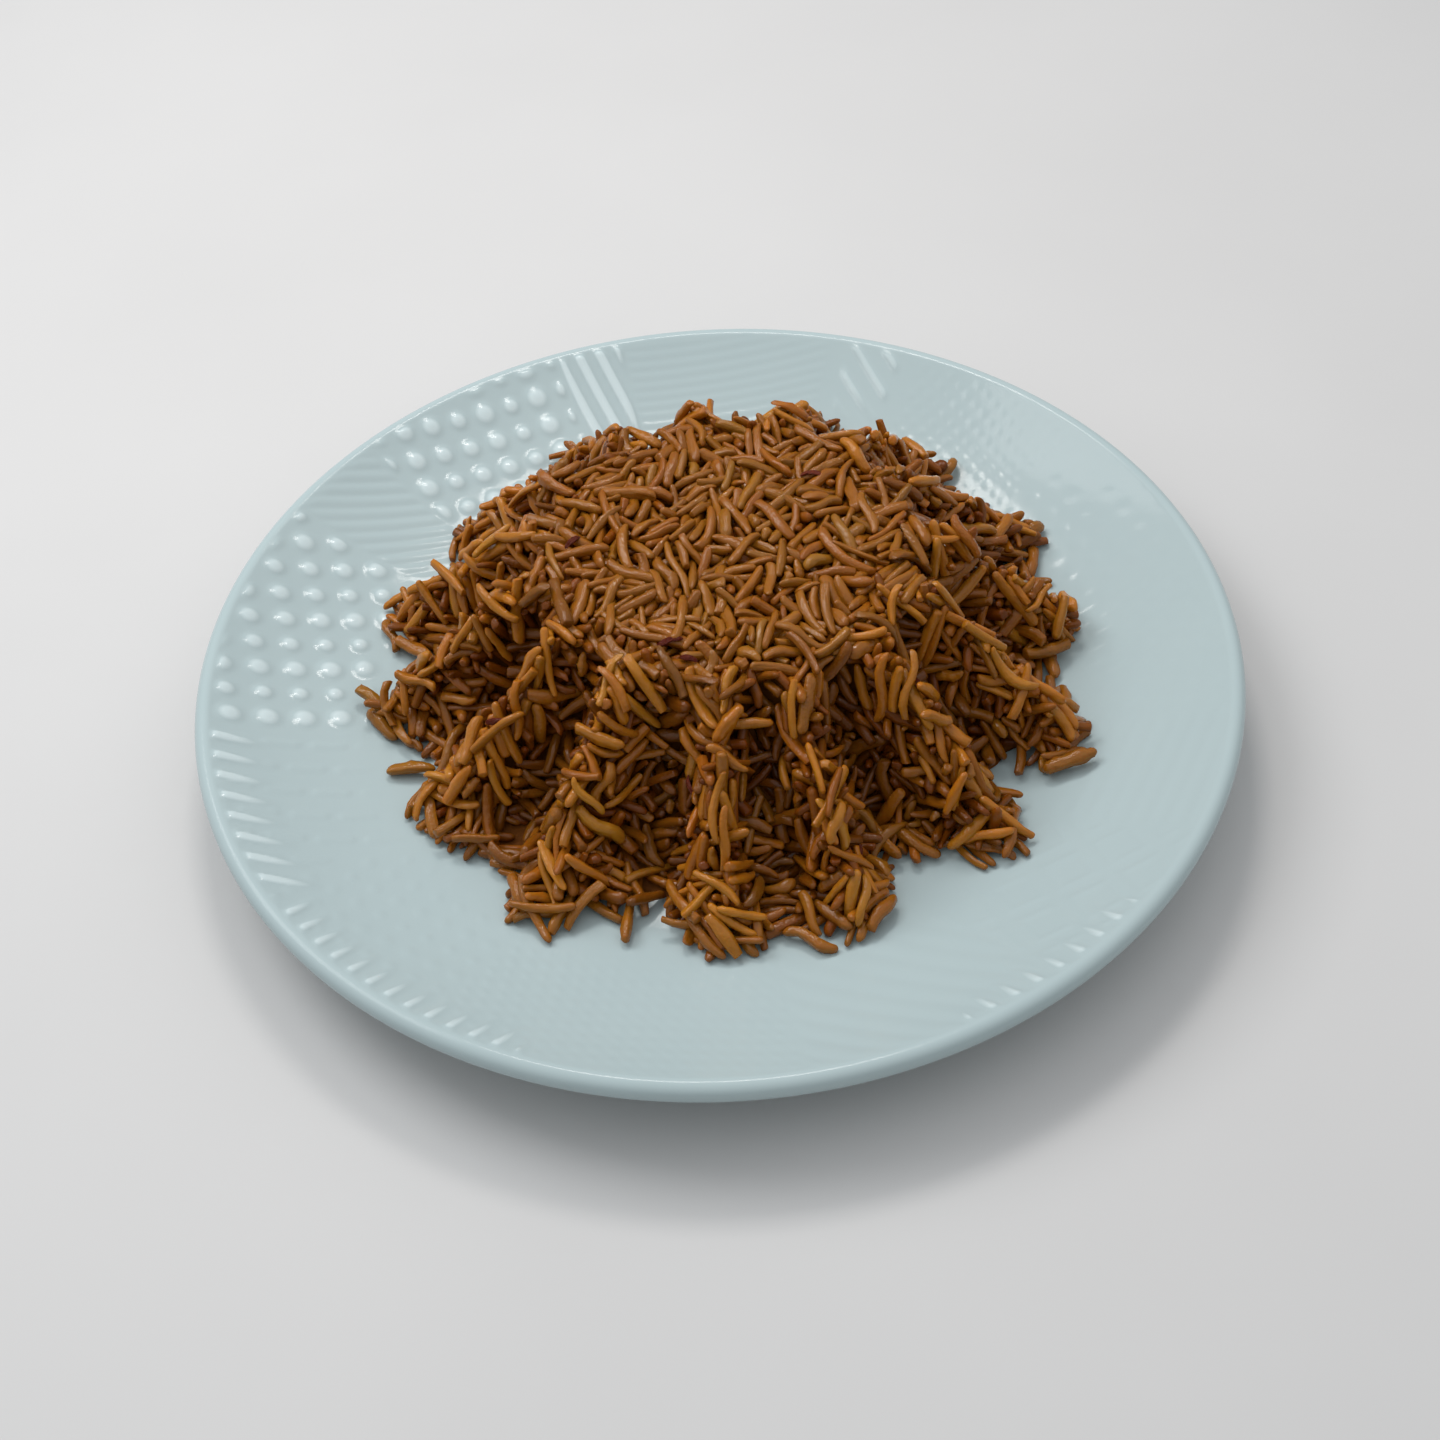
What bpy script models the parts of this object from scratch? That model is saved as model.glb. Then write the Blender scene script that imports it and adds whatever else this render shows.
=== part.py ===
"""Sayadieh: brown rice turned out of a fluted mould onto a coupe porcelain plate.

Two solids in metres, +Z up. The origin is the middle of the plate's foot ring, where the
plate stands. The plate is a lathe-turned dish with a foot ring and a full round lip. The rice
is one mound: a fluted core with its outermost grains fused on, resting 0.3 mm over the glaze.
"""
import math
import random

import bmesh
import bpy
from mathutils import Vector

# ---------------------------------------------------------------- the plate's driving sizes
PLATE_RADIUS = 0.130
PLATE_HEIGHT = 0.0245
PLATE_FLOOR_RADIUS = 0.074
PLATE_FLOOR_HEIGHT = 0.0080
PLATE_THICKNESS = 0.0048
LIP_RADIUS = 0.0027
# Where the wall runs into the lip's round and leaves it underneath, in degrees on that round.
LIP_START = 120.0
LIP_END = -65.0
RISE_POWER = 1.9
FOOT_OUTER_RADIUS = 0.0745
FOOT_INNER_RADIUS = 0.0690
FOOT_HEIGHT = 0.0032
FOOT_TAPER = 0.0012
PLATE_SEGMENTS = 64
RISING_RINGS = 8
LIP_STEPS = 6

# ---------------------------------------------------------------- the mound's driving sizes
MOUND_CENTRE = Vector((0.0047, 0.0084, 0.0))
MOUND_TOP = 0.0515
TOP_RADIUS_CREST = 0.0510
TOP_RADIUS_VALLEY = 0.0452
TOP_SHIFT_BACK = 0.0018
TOP_DOME = 0.0012
EDGE_THICKNESS = 0.0048
CREST_SHARPNESS = 1.35
RIDGE_SHARPNESS = 1.5
CREST_DROP_POWER = 1.15
VALLEY_DROP_POWER = 2.3
# Each flute of the mould left a ridge: its direction in degrees, how far out it reaches, and
# how far the foot of the valley on its left-hand side, seen from above, lies behind it.
FLUTES = (
    (24, 0.0890, 0.0075), (48, 0.0885, 0.0075), (71, 0.0895, 0.0080), (95, 0.0885, 0.0075),
    (119, 0.0895, 0.0075), (142, 0.0890, 0.0075), (166, 0.0910, 0.0090), (188, 0.0915, 0.0085),
    (212, 0.0905, 0.0060), (237, 0.0930, 0.0105), (265, 0.0915, 0.0045), (285, 0.0920, 0.0150),
    (312, 0.0915, 0.0105), (336, 0.0905, 0.0090), (361, 0.0880, 0.0065),
)

# ---------------------------------------------------------------- the core and its grains
REST_GAP = 0.0003
CORE_SKIN = 0.0012
CORE_EDGE_INSET = 0.0012
CORE_BUMP = 0.0008
SAMPLES_PER_FLUTE = 6
# A ring's share of the way out or down, and how many of the directions it skips.
TOP_RINGS = ((0.38, 6), (0.74, 2))
FLANK_RINGS = (0.0, 0.16, 0.34, 0.52, 0.70, 0.86, 1.0)
UNDER_RINGS = ((1.0, 1), (0.80, 2), (0.40, 6))
GRAIN_LENGTH = 0.0128
GRAIN_LENGTH_SPREAD = 0.0018
GRAIN_WIDTH = 0.0027
GRAIN_WIDTH_SPREAD = 0.0002
GRAIN_SIDES = 5
GRAIN_SHOULDER = 0.30
SKIN_GRAINS = 164
FRINGE_GRAINS = 46
# Loose grains at the foot: direction and reach of the outer tip, heading and slope in degrees.
LOOSE_GRAINS = (
    (183, 0.0968, 140, 16), (199, 0.0935, 181, 0), (213, 0.0930, 209, 0), (234, 0.0985, 236, 0),
    (251, 0.0930, 262, -6), (259, 0.0915, 238, -6), (270, 0.0940, 296, -8), (281, 0.0960, 335, -3),
    (311, 0.0950, 332, -6), (333, 0.0965, 13, 10),
)
GOLDEN_ANGLE = math.pi * (3.0 - math.sqrt(5.0))
SEED = 1187

PORCELAIN = ((0.60, 0.69, 0.70, 1.0), 0.12, 0.0)
BROWN_RICE = ((0.26, 0.105, 0.022, 1.0), 0.42, 0.0)


def clear_scene():
    for thing in list(bpy.data.objects):
        bpy.data.objects.remove(thing, do_unlink=True)


def finish_material(name, looks):
    """A Principled material from a colour, a roughness and a metallic value."""
    colour, roughness, metallic = looks
    material = bpy.data.materials.new(name)
    material.use_nodes = True
    shader = material.node_tree.nodes["Principled BSDF"]
    shader.inputs["Base Color"].default_value = colour
    shader.inputs["Roughness"].default_value = roughness
    shader.inputs["Metallic"].default_value = metallic
    return material


def object_from(name, bm):
    """An object made from a bmesh, which is freed."""
    mesh = bpy.data.meshes.new(name)
    bm.to_mesh(mesh)
    bm.free()
    thing = bpy.data.objects.new(name, mesh)
    bpy.context.scene.collection.objects.link(thing)
    return thing


# ---------------------------------------------------------------- the plate
def lip_point(degrees):
    """(radius, height) of a point on the lip's round."""
    turn = math.radians(degrees)
    return (
        PLATE_RADIUS - LIP_RADIUS + LIP_RADIUS * math.cos(turn),
        PLATE_HEIGHT - LIP_RADIUS + LIP_RADIUS * math.sin(turn),
    )


def plate_surface(radius):
    """Height of the glazed upper face at a distance from the middle: flat, then curving up."""
    wall_end, wall_top = lip_point(LIP_START)
    share = max(0.0, (radius - PLATE_FLOOR_RADIUS) / (wall_end - PLATE_FLOOR_RADIUS))
    return PLATE_FLOOR_HEIGHT + (wall_top - PLATE_FLOOR_HEIGHT) * share ** RISE_POWER


def plate_profile():
    """The plate's section as (radius, height) points, from the middle of its upper face round."""
    wall_end = lip_point(LIP_START)[0]
    points = [(0.0, PLATE_FLOOR_HEIGHT)]
    for step in range(RISING_RINGS):
        radius = PLATE_FLOOR_RADIUS + (wall_end - PLATE_FLOOR_RADIUS) * step / RISING_RINGS
        points.append((radius, plate_surface(radius)))
    for step in range(LIP_STEPS + 1):
        points.append(lip_point(LIP_START + (LIP_END - LIP_START) * step / LIP_STEPS))
    for share in (0.80, 0.58, 0.36, 0.16):
        radius = FOOT_OUTER_RADIUS + (wall_end - FOOT_OUTER_RADIUS) * share
        points.append((radius, plate_surface(radius) - PLATE_THICKNESS))
    points += [
        (FOOT_OUTER_RADIUS + FOOT_TAPER, FOOT_HEIGHT),
        (FOOT_OUTER_RADIUS, 0.0),
        (FOOT_INNER_RADIUS, 0.0),
        (FOOT_INNER_RADIUS - FOOT_TAPER, FOOT_HEIGHT),
        (0.0, FOOT_HEIGHT),
    ]
    return points


def make_plate():
    """The plate's section, spun once round the upright axis."""
    bm = bmesh.new()
    verts = [bm.verts.new((radius, 0.0, height)) for radius, height in plate_profile()]
    edges = [bm.edges.new(pair) for pair in zip(verts, verts[1:])]
    bmesh.ops.spin(
        bm, geom=verts + edges, cent=(0, 0, 0), axis=(0, 0, 1),
        angle=2.0 * math.pi, steps=PLATE_SEGMENTS, use_duplicate=False,
    )
    bmesh.ops.remove_doubles(bm, verts=bm.verts, dist=1e-6)
    bmesh.ops.recalc_face_normals(bm, faces=bm.faces)
    plate = object_from("plate", bm)
    plate.data.shade_smooth()
    plate.data.set_sharp_from_angle(angle=math.radians(40))
    plate.data.materials.append(finish_material("porcelain", PORCELAIN))
    return plate


# ---------------------------------------------------------------- the mound's form
def flute_pairs():
    """Each flute with the next one round the mound."""
    first = (FLUTES[0][0] + 360,) + FLUTES[0][1:]
    return list(zip(FLUTES, FLUTES[1:] + (first,)))


def flute_at(angle):
    """(crest, reach, inset) at a direction: crest is 1 on a ridge and 0 midway between two."""
    first = FLUTES[0][0]
    degrees = first + (math.degrees(angle) - first) % 360.0
    for (left, left_reach, inset), (right, right_reach, _) in flute_pairs():
        if degrees <= right:
            break
    share = (degrees - left) / (right - left)
    crest = (0.5 + 0.5 * math.cos(2.0 * math.pi * share)) ** CREST_SHARPNESS
    return crest, left_reach + (right_reach - left_reach) * share, inset


def mound_radii(angle):
    """(top, base) radii of the mound in one direction."""
    crest, reach, inset = flute_at(angle)
    top = TOP_RADIUS_VALLEY + (TOP_RADIUS_CREST - TOP_RADIUS_VALLEY) * crest
    return top + TOP_SHIFT_BACK * math.sin(angle), reach - inset * (1.0 - crest)


def mound_height(angle, radius):
    """Height of the rice above the table, for a direction and a distance from the mound's middle."""
    crest = flute_at(angle)[0]
    top, base = mound_radii(angle)
    if radius <= top:
        return MOUND_TOP - TOP_DOME * (radius / top) ** 2
    share = min(1.0, (radius - top) / (base - top))
    on_crest = share ** CREST_DROP_POWER
    in_valley = 1.0 - (1.0 - share) ** VALLEY_DROP_POWER
    drop = in_valley + (on_crest - in_valley) * crest ** RIDGE_SHARPNESS
    shoulder = MOUND_TOP - TOP_DOME
    foot = plate_surface(distance_from_axis(angle, base)) + EDGE_THICKNESS
    return shoulder - (shoulder - foot) * drop


def at(angle, radius, height):
    """A point from its direction and distance from the mound's middle, and its height."""
    return Vector((
        MOUND_CENTRE.x + radius * math.cos(angle),
        MOUND_CENTRE.y + radius * math.sin(angle),
        height,
    ))


def distance_from_axis(angle, radius):
    """Distance from the plate's own axis, as the mound sits a little off it."""
    return at(angle, radius, 0.0).xy.length


def mound_point(angle, radius):
    return at(angle, radius, mound_height(angle, radius))


def mound_frame(angle, radius):
    """(point, outward normal, downhill direction) on the mound's surface."""
    step = 0.0006
    point = mound_point(angle, radius)
    outward = mound_point(angle, radius + step) - mound_point(angle, radius - step)
    around = mound_point(angle + step / radius, radius) - mound_point(angle - step / radius, radius)
    outward.normalize()
    normal = outward.cross(around).normalized()
    return point, normal, outward


# ---------------------------------------------------------------- the core
def flute_directions():
    """Evenly spaced directions within each flute, so that ridges and valleys get a vertex."""
    return [
        math.radians(left[0] + (right[0] - left[0]) * step / SAMPLES_PER_FLUTE)
        for left, right in flute_pairs()
        for step in range(SAMPLES_PER_FLUTE)
    ]


def core_rings(draw):
    """Rings of points from the crown down the flanks and in under the mound."""
    directions = flute_directions()
    rings = []
    for share, skip in TOP_RINGS:
        ring = []
        for angle in directions[::skip]:
            radius = mound_radii(angle)[0] * share
            height = mound_height(angle, radius) - CORE_SKIN + draw.uniform(-1, 1) * CORE_BUMP
            ring.append(at(angle, radius, height))
        rings.append(ring)
    for share in FLANK_RINGS:
        ring = []
        for angle in directions:
            top, base = mound_radii(angle)
            point, normal, _ = mound_frame(angle, top + (base - top) * share)
            sunk = point - normal * (CORE_SKIN + draw.uniform(-1, 1) * CORE_BUMP)
            outward = (at(angle, 1.0, 0.0) - MOUND_CENTRE).normalized()
            ring.append(sunk - outward * CORE_EDGE_INSET * share ** 3)
        rings.append(ring)
    for share, skip in UNDER_RINGS:
        ring = []
        for angle in directions[::skip]:
            radius = (mound_radii(angle)[1] - 2.0 * CORE_EDGE_INSET) * share
            height = plate_surface(distance_from_axis(angle, radius)) + REST_GAP
            ring.append(at(angle, radius, height))
        rings.append(ring)
    return rings


def stitch(bm, few, many):
    """Triangles between two rings, where one has a whole number of times the other's points."""
    if len(few) > len(many):
        few, many = many, few
    times = len(many) // len(few)
    for i, vert in enumerate(few):
        for j in range(times * i, times * i + times):
            bm.faces.new((vert, many[j], many[(j + 1) % len(many)]))
        following = (i + 1) % len(few)
        bm.faces.new((vert, many[(times * i + times) % len(many)], few[following]))


def make_core(draw):
    """The packed inside of the mound, with the flutes of the mould and low bumps."""
    bm = bmesh.new()
    crown = bm.verts.new(at(0.0, 0.0, MOUND_TOP - CORE_SKIN))
    under = bm.verts.new(at(0.0, 0.0, PLATE_FLOOR_HEIGHT + REST_GAP))
    rings = [[bm.verts.new(point) for point in ring] for ring in core_rings(draw)]
    for upper, lower in zip(rings, rings[1:]):
        stitch(bm, upper, lower)
    for middle, ring in ((crown, rings[0]), (under, rings[-1])):
        for i, vert in enumerate(ring):
            bm.faces.new((middle, vert, ring[(i + 1) % len(ring)]))
    bmesh.ops.recalc_face_normals(bm, faces=bm.faces)
    return object_from("rice", bm)


# ---------------------------------------------------------------- the grains
def make_grain(number, middle, along, length, width, bend):
    """One low-sided grain of rice, lifted clear of the plate where it would touch it."""
    bm = bmesh.new()
    bmesh.ops.create_uvsphere(bm, u_segments=GRAIN_SIDES, v_segments=3, radius=1.0)
    turn = along.to_track_quat("Z", "Y")
    for vert in bm.verts:
        is_tip = vert.co.xy.length < 0.1
        side = math.copysign(1.0, vert.co.z)
        reach = 0.5 if is_tip else GRAIN_SHOULDER
        across = Vector((0.0, 0.0)) if is_tip else vert.co.xy.normalized() * width / 2.0
        sag = bend * length * (1.0 if is_tip else 0.35)
        vert.co = middle + turn @ Vector((across.x + sag, across.y, side * reach * length))
    clearance = min(vert.co.z - plate_surface(vert.co.xy.length) for vert in bm.verts)
    lift = max(0.0, REST_GAP + 0.00008 - clearance)
    for vert in bm.verts:
        vert.co.z += lift
    return object_from(f"grain_{number:03d}", bm)


def even_spread(count):
    """(direction, radius) pairs spread evenly over the mound's sloping surface on a golden spiral."""
    outer = 0.086
    steps = 400
    areas = [0.0]
    for i in range(steps):
        radius = outer * (i + 0.5) / steps
        slope = 1.0 if radius < TOP_RADIUS_CREST else 1.55
        areas.append(areas[-1] + radius * slope)
    places = []
    level = 0
    for i in range(count):
        wanted = areas[-1] * (i + 0.5) / count
        while areas[level + 1] < wanted:
            level += 1
        places.append((i * GOLDEN_ANGLE, outer * level / steps))
    return places


def skin_grains(draw):
    """Grains lying in the mound's surface: any way round on the crown, mostly downhill on a flank."""
    grains = []
    for number, (angle, radius) in enumerate(even_spread(SKIN_GRAINS)):
        top, base = mound_radii(angle)
        on_crown = radius < top - 0.003
        if not on_crown:
            radius = min(max(radius, top + 0.0045), base - 0.0035)
        point, normal, downhill = mound_frame(angle, max(radius, 0.002))
        swing = draw.uniform(0, math.pi) if on_crown else draw.gauss(0.0, 0.75)
        sideways = normal.cross(downhill)
        along = downhill * math.cos(swing) + sideways * math.sin(swing)
        tilt = draw.gauss(0.0, 0.04 if on_crown else 0.16)
        along = (along + normal * tilt).normalized()
        length = GRAIN_LENGTH + draw.uniform(-1, 1) * GRAIN_LENGTH_SPREAD
        width = GRAIN_WIDTH + draw.uniform(-1, 1) * GRAIN_WIDTH_SPREAD
        depth = draw.uniform(0.45, 0.95 if on_crown else 0.75) * width / 2.0
        bend = draw.uniform(-0.05, 0.05)
        grains.append(make_grain(number, point - normal * depth, along, length, width, bend))
    return grains


def fringe_grains(draw, first_number):
    """Grains round the foot of the mound, poking out over the plate."""
    grains = []
    for i in range(FRINGE_GRAINS):
        angle = 2.0 * math.pi * (i + draw.uniform(-0.3, 0.3)) / FRINGE_GRAINS
        _, base = mound_radii(angle)
        length = GRAIN_LENGTH + draw.uniform(-1, 1) * GRAIN_LENGTH_SPREAD
        outward = (at(angle + draw.gauss(0.0, 0.55), 1.0, 0.0) - MOUND_CENTRE).normalized()
        middle = at(angle, base - length * draw.uniform(0.16, 0.30), 0.0)
        middle.z = plate_surface(middle.xy.length) + GRAIN_WIDTH * draw.uniform(0.5, 0.9)
        along = (outward + Vector((0, 0, draw.uniform(-0.10, 0.12)))).normalized()
        bend = draw.uniform(-0.04, 0.04)
        grains.append(
            make_grain(first_number + i, middle, along, length, GRAIN_WIDTH, bend)
        )
    return grains


def loose_grains(draw, first_number):
    """The few grains that lie farthest out, each resting on the glaze or on the heap."""
    grains = []
    for i, (direction, reach, heading, slope) in enumerate(LOOSE_GRAINS):
        level = math.cos(math.radians(slope))
        along = Vector((
            level * math.cos(math.radians(heading)),
            level * math.sin(math.radians(heading)),
            math.sin(math.radians(slope)),
        ))
        tip = at(math.radians(direction), reach, 0.0)
        middle = tip - along * GRAIN_LENGTH / 2.0
        middle.z = plate_surface(middle.xy.length) + GRAIN_WIDTH * 0.7
        bend = draw.uniform(-0.04, 0.04)
        grains.append(
            make_grain(first_number + i, middle, along, GRAIN_LENGTH, GRAIN_WIDTH, bend)
        )
    return grains


def fuse(core, grains):
    """One union of the core with every grain, keeping only the outer shell of the result."""
    helpers = bpy.data.collections.new("grains")
    bpy.context.scene.collection.children.link(helpers)
    for grain in grains:
        bpy.context.scene.collection.objects.unlink(grain)
        helpers.objects.link(grain)
    union = core.modifiers.new("fuse", "BOOLEAN")
    union.operation = "UNION"
    union.operand_type = "COLLECTION"
    union.collection = helpers
    union.solver = "MANIFOLD"
    bpy.context.view_layer.objects.active = core
    bpy.ops.object.modifier_apply(modifier=union.name)
    for grain in grains:
        bpy.data.objects.remove(grain, do_unlink=True)
    bpy.data.collections.remove(helpers)
    keep_outer_shell(core.data)


def keep_outer_shell(mesh):
    """Drops the walls of sealed hollows, which fills them, and any loose scrap."""
    bm = bmesh.new()
    bm.from_mesh(mesh)
    waiting = set(bm.verts)
    shells = []
    while waiting:
        shell = set()
        front = [waiting.pop()]
        while front:
            vert = front.pop()
            shell.add(vert)
            for edge in vert.link_edges:
                other = edge.other_vert(vert)
                if other in waiting:
                    waiting.remove(other)
                    front.append(other)
        shells.append(shell)
    outer = max(shells, key=len)
    spare = [vert for shell in shells if shell is not outer for vert in shell]
    bmesh.ops.delete(bm, geom=spare, context="VERTS")
    bmesh.ops.triangulate(bm, faces=bm.faces)
    bm.to_mesh(mesh)
    bm.free()


def make_rice():
    draw = random.Random(SEED)
    core = make_core(draw)
    grains = skin_grains(draw)
    grains += fringe_grains(draw, len(grains))
    grains += loose_grains(draw, len(grains))
    fuse(core, grains)
    core.data.shade_smooth()
    core.data.set_sharp_from_angle(angle=math.radians(50))
    core.data.materials.append(finish_material("brown_rice", BROWN_RICE))
    return core


clear_scene()
make_plate()
make_rice()
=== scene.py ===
# %% [markdown]
# # Sayadieh on its plate
#
# This lesson dresses a plate of sayadieh: brown long-grain rice, turned out of a fluted mould
# onto a pale porcelain plate. The plate and the mound already exist as plain solids, so every
# piece made here has to sit exactly where those solids sit. We load them first and keep their
# box, because nothing that we add may reach outside it.

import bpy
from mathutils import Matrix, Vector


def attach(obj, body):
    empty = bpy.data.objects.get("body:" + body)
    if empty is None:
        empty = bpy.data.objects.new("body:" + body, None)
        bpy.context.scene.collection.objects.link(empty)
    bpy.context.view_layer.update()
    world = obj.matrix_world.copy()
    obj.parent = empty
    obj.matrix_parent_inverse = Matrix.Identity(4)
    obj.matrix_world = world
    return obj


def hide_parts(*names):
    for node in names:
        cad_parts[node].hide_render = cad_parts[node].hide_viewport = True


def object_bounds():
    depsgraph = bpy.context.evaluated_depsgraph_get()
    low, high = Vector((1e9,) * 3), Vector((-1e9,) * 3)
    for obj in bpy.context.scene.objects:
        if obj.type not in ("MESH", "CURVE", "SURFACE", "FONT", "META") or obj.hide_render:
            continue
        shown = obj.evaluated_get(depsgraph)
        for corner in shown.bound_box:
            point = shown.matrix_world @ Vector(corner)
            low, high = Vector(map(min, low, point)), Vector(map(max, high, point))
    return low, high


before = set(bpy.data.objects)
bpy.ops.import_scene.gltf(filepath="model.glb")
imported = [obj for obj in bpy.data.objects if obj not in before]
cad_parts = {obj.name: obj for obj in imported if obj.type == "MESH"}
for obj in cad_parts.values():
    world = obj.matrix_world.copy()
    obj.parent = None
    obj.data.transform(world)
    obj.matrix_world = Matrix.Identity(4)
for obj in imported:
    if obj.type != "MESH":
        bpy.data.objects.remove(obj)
solid_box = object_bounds()
print("solids reach from", solid_box[0], "to", solid_box[1])

# %% Bring in what the lesson uses
import math

import bpy
import numpy as np
from mathutils import Matrix, Vector

MM = 0.001
scene = bpy.context.scene
draw = np.random.default_rng(4711)
TURN = 2.0 * math.pi

# %% [markdown]
# ## Shader maths as plain expressions
#
# A finish is mostly arithmetic: mix two browns by a grain's tone, add a little noise, darken
# the tips. In the node editor each sum is a node. The class below wraps one socket, so that the
# same sums can be written as Python expressions, and each expression adds its own Math nodes.

# %% A wire that can be added, multiplied and mixed
class Wire:
    """One output socket of a material, which takes part in Python arithmetic."""

    def __init__(self, tree, socket=None):
        self.tree = tree
        self.socket = socket

    def add(self, kind, settings=None, sockets=None, out=0):
        """Any node: its type, its settings first, then values or wires for its sockets."""
        node = self.tree.nodes.new(kind)
        for name, value in (settings or {}).items():
            if name == "stops":
                set_stops(node.color_ramp, value)
            else:
                setattr(node, name, value)
        for name, value in (sockets or {}).items():
            if isinstance(value, Wire):
                self.tree.links.new(value.socket, node.inputs[name])
            else:
                node.inputs[name].default_value = value
        return Wire(self.tree, node.outputs[out])

    def maths(self, operation, first, second):
        return self.add("ShaderNodeMath", {"operation": operation}, {0: first, 1: second})

    def __add__(self, other):
        return self.maths("ADD", self, other)

    def __mul__(self, other):
        return self.maths("MULTIPLY", self, other)

    def __sub__(self, other):
        return self.maths("SUBTRACT", self, other)

    def power(self, exponent):
        return self.maths("POWER", self, exponent)

    def clamp(self, low=0.0, high=1.0):
        return self.add("ShaderNodeClamp", None, {"Value": self, "Min": low, "Max": high})

    def mix(self, low, high):
        """Colour low where this wire is 0 and colour high where it is 1."""
        settings = {"data_type": "RGBA", "clamp_factor": True}
        return self.add("ShaderNodeMix", settings, {0: self, 6: low, 7: high}, out=2)

    def tinted(self, other):
        """The product of this colour and another."""
        settings = {"data_type": "RGBA", "blend_type": "MULTIPLY"}
        return self.add("ShaderNodeMix", settings, {0: 1.0, 6: self, 7: other}, out=2)


def set_stops(ramp, stops):
    """Gives a colour ramp its stops, as (place, colour) pairs."""
    while len(ramp.elements) < len(stops):
        ramp.elements.new(0.5)
    for element, (place, colour) in zip(ramp.elements, stops):
        element.position = place
        element.color = colour


# %% Start a finish from one Principled shader
def new_finish(name, roughness, **fixed):
    """(material, wire to build from, shader) with the values that are the same all over."""
    material = bpy.data.materials.new(name)
    material.use_nodes = True
    shader = material.node_tree.nodes["Principled BSDF"]
    shader.inputs["Roughness"].default_value = roughness
    for socket, value in fixed.items():
        shader.inputs[socket.replace("_", " ")].default_value = value
    return material, Wire(material.node_tree), shader


def feed(shader, socket, wire):
    wire.tree.links.new(wire.socket, shader.inputs[socket])


def painted(wire, name, out=2):
    """A number, or with out=1 a vector, that each vertex of the mesh carries."""
    return wire.add("ShaderNodeAttribute", {"attribute_name": name}, out=out)


def in_place(wire):
    return wire.add("ShaderNodeTexCoord", out=3)


def noise(wire, scale, detail, roughness=0.5, at=None):
    where = in_place(wire) if at is None else at
    sockets = {"Vector": where, "Scale": scale, "Detail": detail, "Roughness": roughness}
    return wire.add("ShaderNodeTexNoise", None, sockets)


# %% Meshes straight from arrays
def mesh_piece(name, points, faces, material, numbers=None):
    """A smooth piece from arrays of points in millimetres and of equally sided faces."""
    mesh = bpy.data.meshes.new(name)
    sides = faces.shape[1]
    mesh.vertices.add(len(points))
    mesh.vertices.foreach_set("co", (points * MM).astype(np.float32).ravel())
    mesh.loops.add(faces.size)
    mesh.loops.foreach_set("vertex_index", faces.astype(np.int32).ravel())
    mesh.polygons.add(len(faces))
    mesh.polygons.foreach_set("loop_start", np.arange(0, faces.size, sides, dtype=np.int32))
    mesh.update(calc_edges=True)
    for label, values in (numbers or {}).items():
        kind, field = ("FLOAT", "value") if values.ndim == 1 else ("FLOAT_VECTOR", "vector")
        layer = mesh.attributes.new(label, kind, "POINT")
        layer.data.foreach_set(field, values.astype(np.float32).ravel())
    mesh.shade_smooth()
    mesh.materials.append(material)
    piece = bpy.data.objects.new(name, mesh)
    scene.collection.objects.link(piece)
    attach(piece, "root")
    print(name, "has", len(points), "points and", len(faces) * (sides - 2), "triangles")
    return piece


# %% [markdown]
# ## The plate
#
# The real plate is slip-cast porcelain: a flat well, a wall that curves up in one sweep, a full
# round lip and a low foot ring. Its upper face carries a patchwork of pressed relief, with
# domed buttons, long bars, fine ribs and rows of small beads, all rounded off by the glaze.
# Relief this low could be a bump in the material, but its buttons throw clear window
# reflections, which only look right on real slopes. So the upper face is a fine polar grid whose
# heights hold the relief.

# %% The plate's sizes, in millimetres
PLATE_RADIUS = 129.95
PLATE_HEIGHT = 24.49
WELL_RADIUS = 74.0
WELL_HEIGHT = 8.0
PLATE_THICKNESS = 4.8
LIP_RADIUS = 2.7
LIP_START = 120.0
LIP_END = -65.0
WALL_POWER = 1.9


def lip_point(degrees):
    """(radius, height) of a point on the lip's round."""
    turn = math.radians(degrees)
    return (
        PLATE_RADIUS - LIP_RADIUS + LIP_RADIUS * math.cos(turn),
        PLATE_HEIGHT - LIP_RADIUS + LIP_RADIUS * math.sin(turn),
    )


WALL_END, WALL_TOP = lip_point(LIP_START)


def glaze(radius):
    """Height of the plate's upper face at a distance from its middle."""
    share = np.maximum(0.0, (np.asarray(radius, float) - WELL_RADIUS) / (WALL_END - WELL_RADIUS))
    return WELL_HEIGHT + (WALL_TOP - WELL_HEIGHT) * share ** WALL_POWER


print("the glaze is", round(float(glaze(100.0)), 2), "mm up at 100 mm from the middle")

# %% [markdown]
# ### The patchwork relief
#
# Each patch fills a range of bearings, in degrees from the right-hand side anticlockwise. In it
# one motif repeats: buttons, bars, ribs, beads, dashes or square outlines. A patch has its own
# heading, pitch and height, and fades out over its border and towards the well, as pressed
# relief does under glaze.

# %% The motifs
def bumps(along, across, pitch, radius):
    """Rounded buttons on a grid, no two quite the same size."""
    place = along / pitch[0]
    column, row = np.round(place), np.round(across / pitch[1])
    own = radius * (0.86 + 0.14 * np.sin(12.9 * column + 78.2 * row))
    away = np.hypot((place - column) * pitch[0], across - row * pitch[1])
    return np.clip(1.0 - (away / own) ** 2, 0.0, 1.0) ** 2


def bars(along, across, pitch, width):
    """Single raised bars with soft edges and flat gaps between them."""
    away = across - np.round(across / pitch) * pitch
    return np.clip(1.0 - (away / (width / 2.0)) ** 2, 0.0, 1.0) ** 1.5


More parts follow.
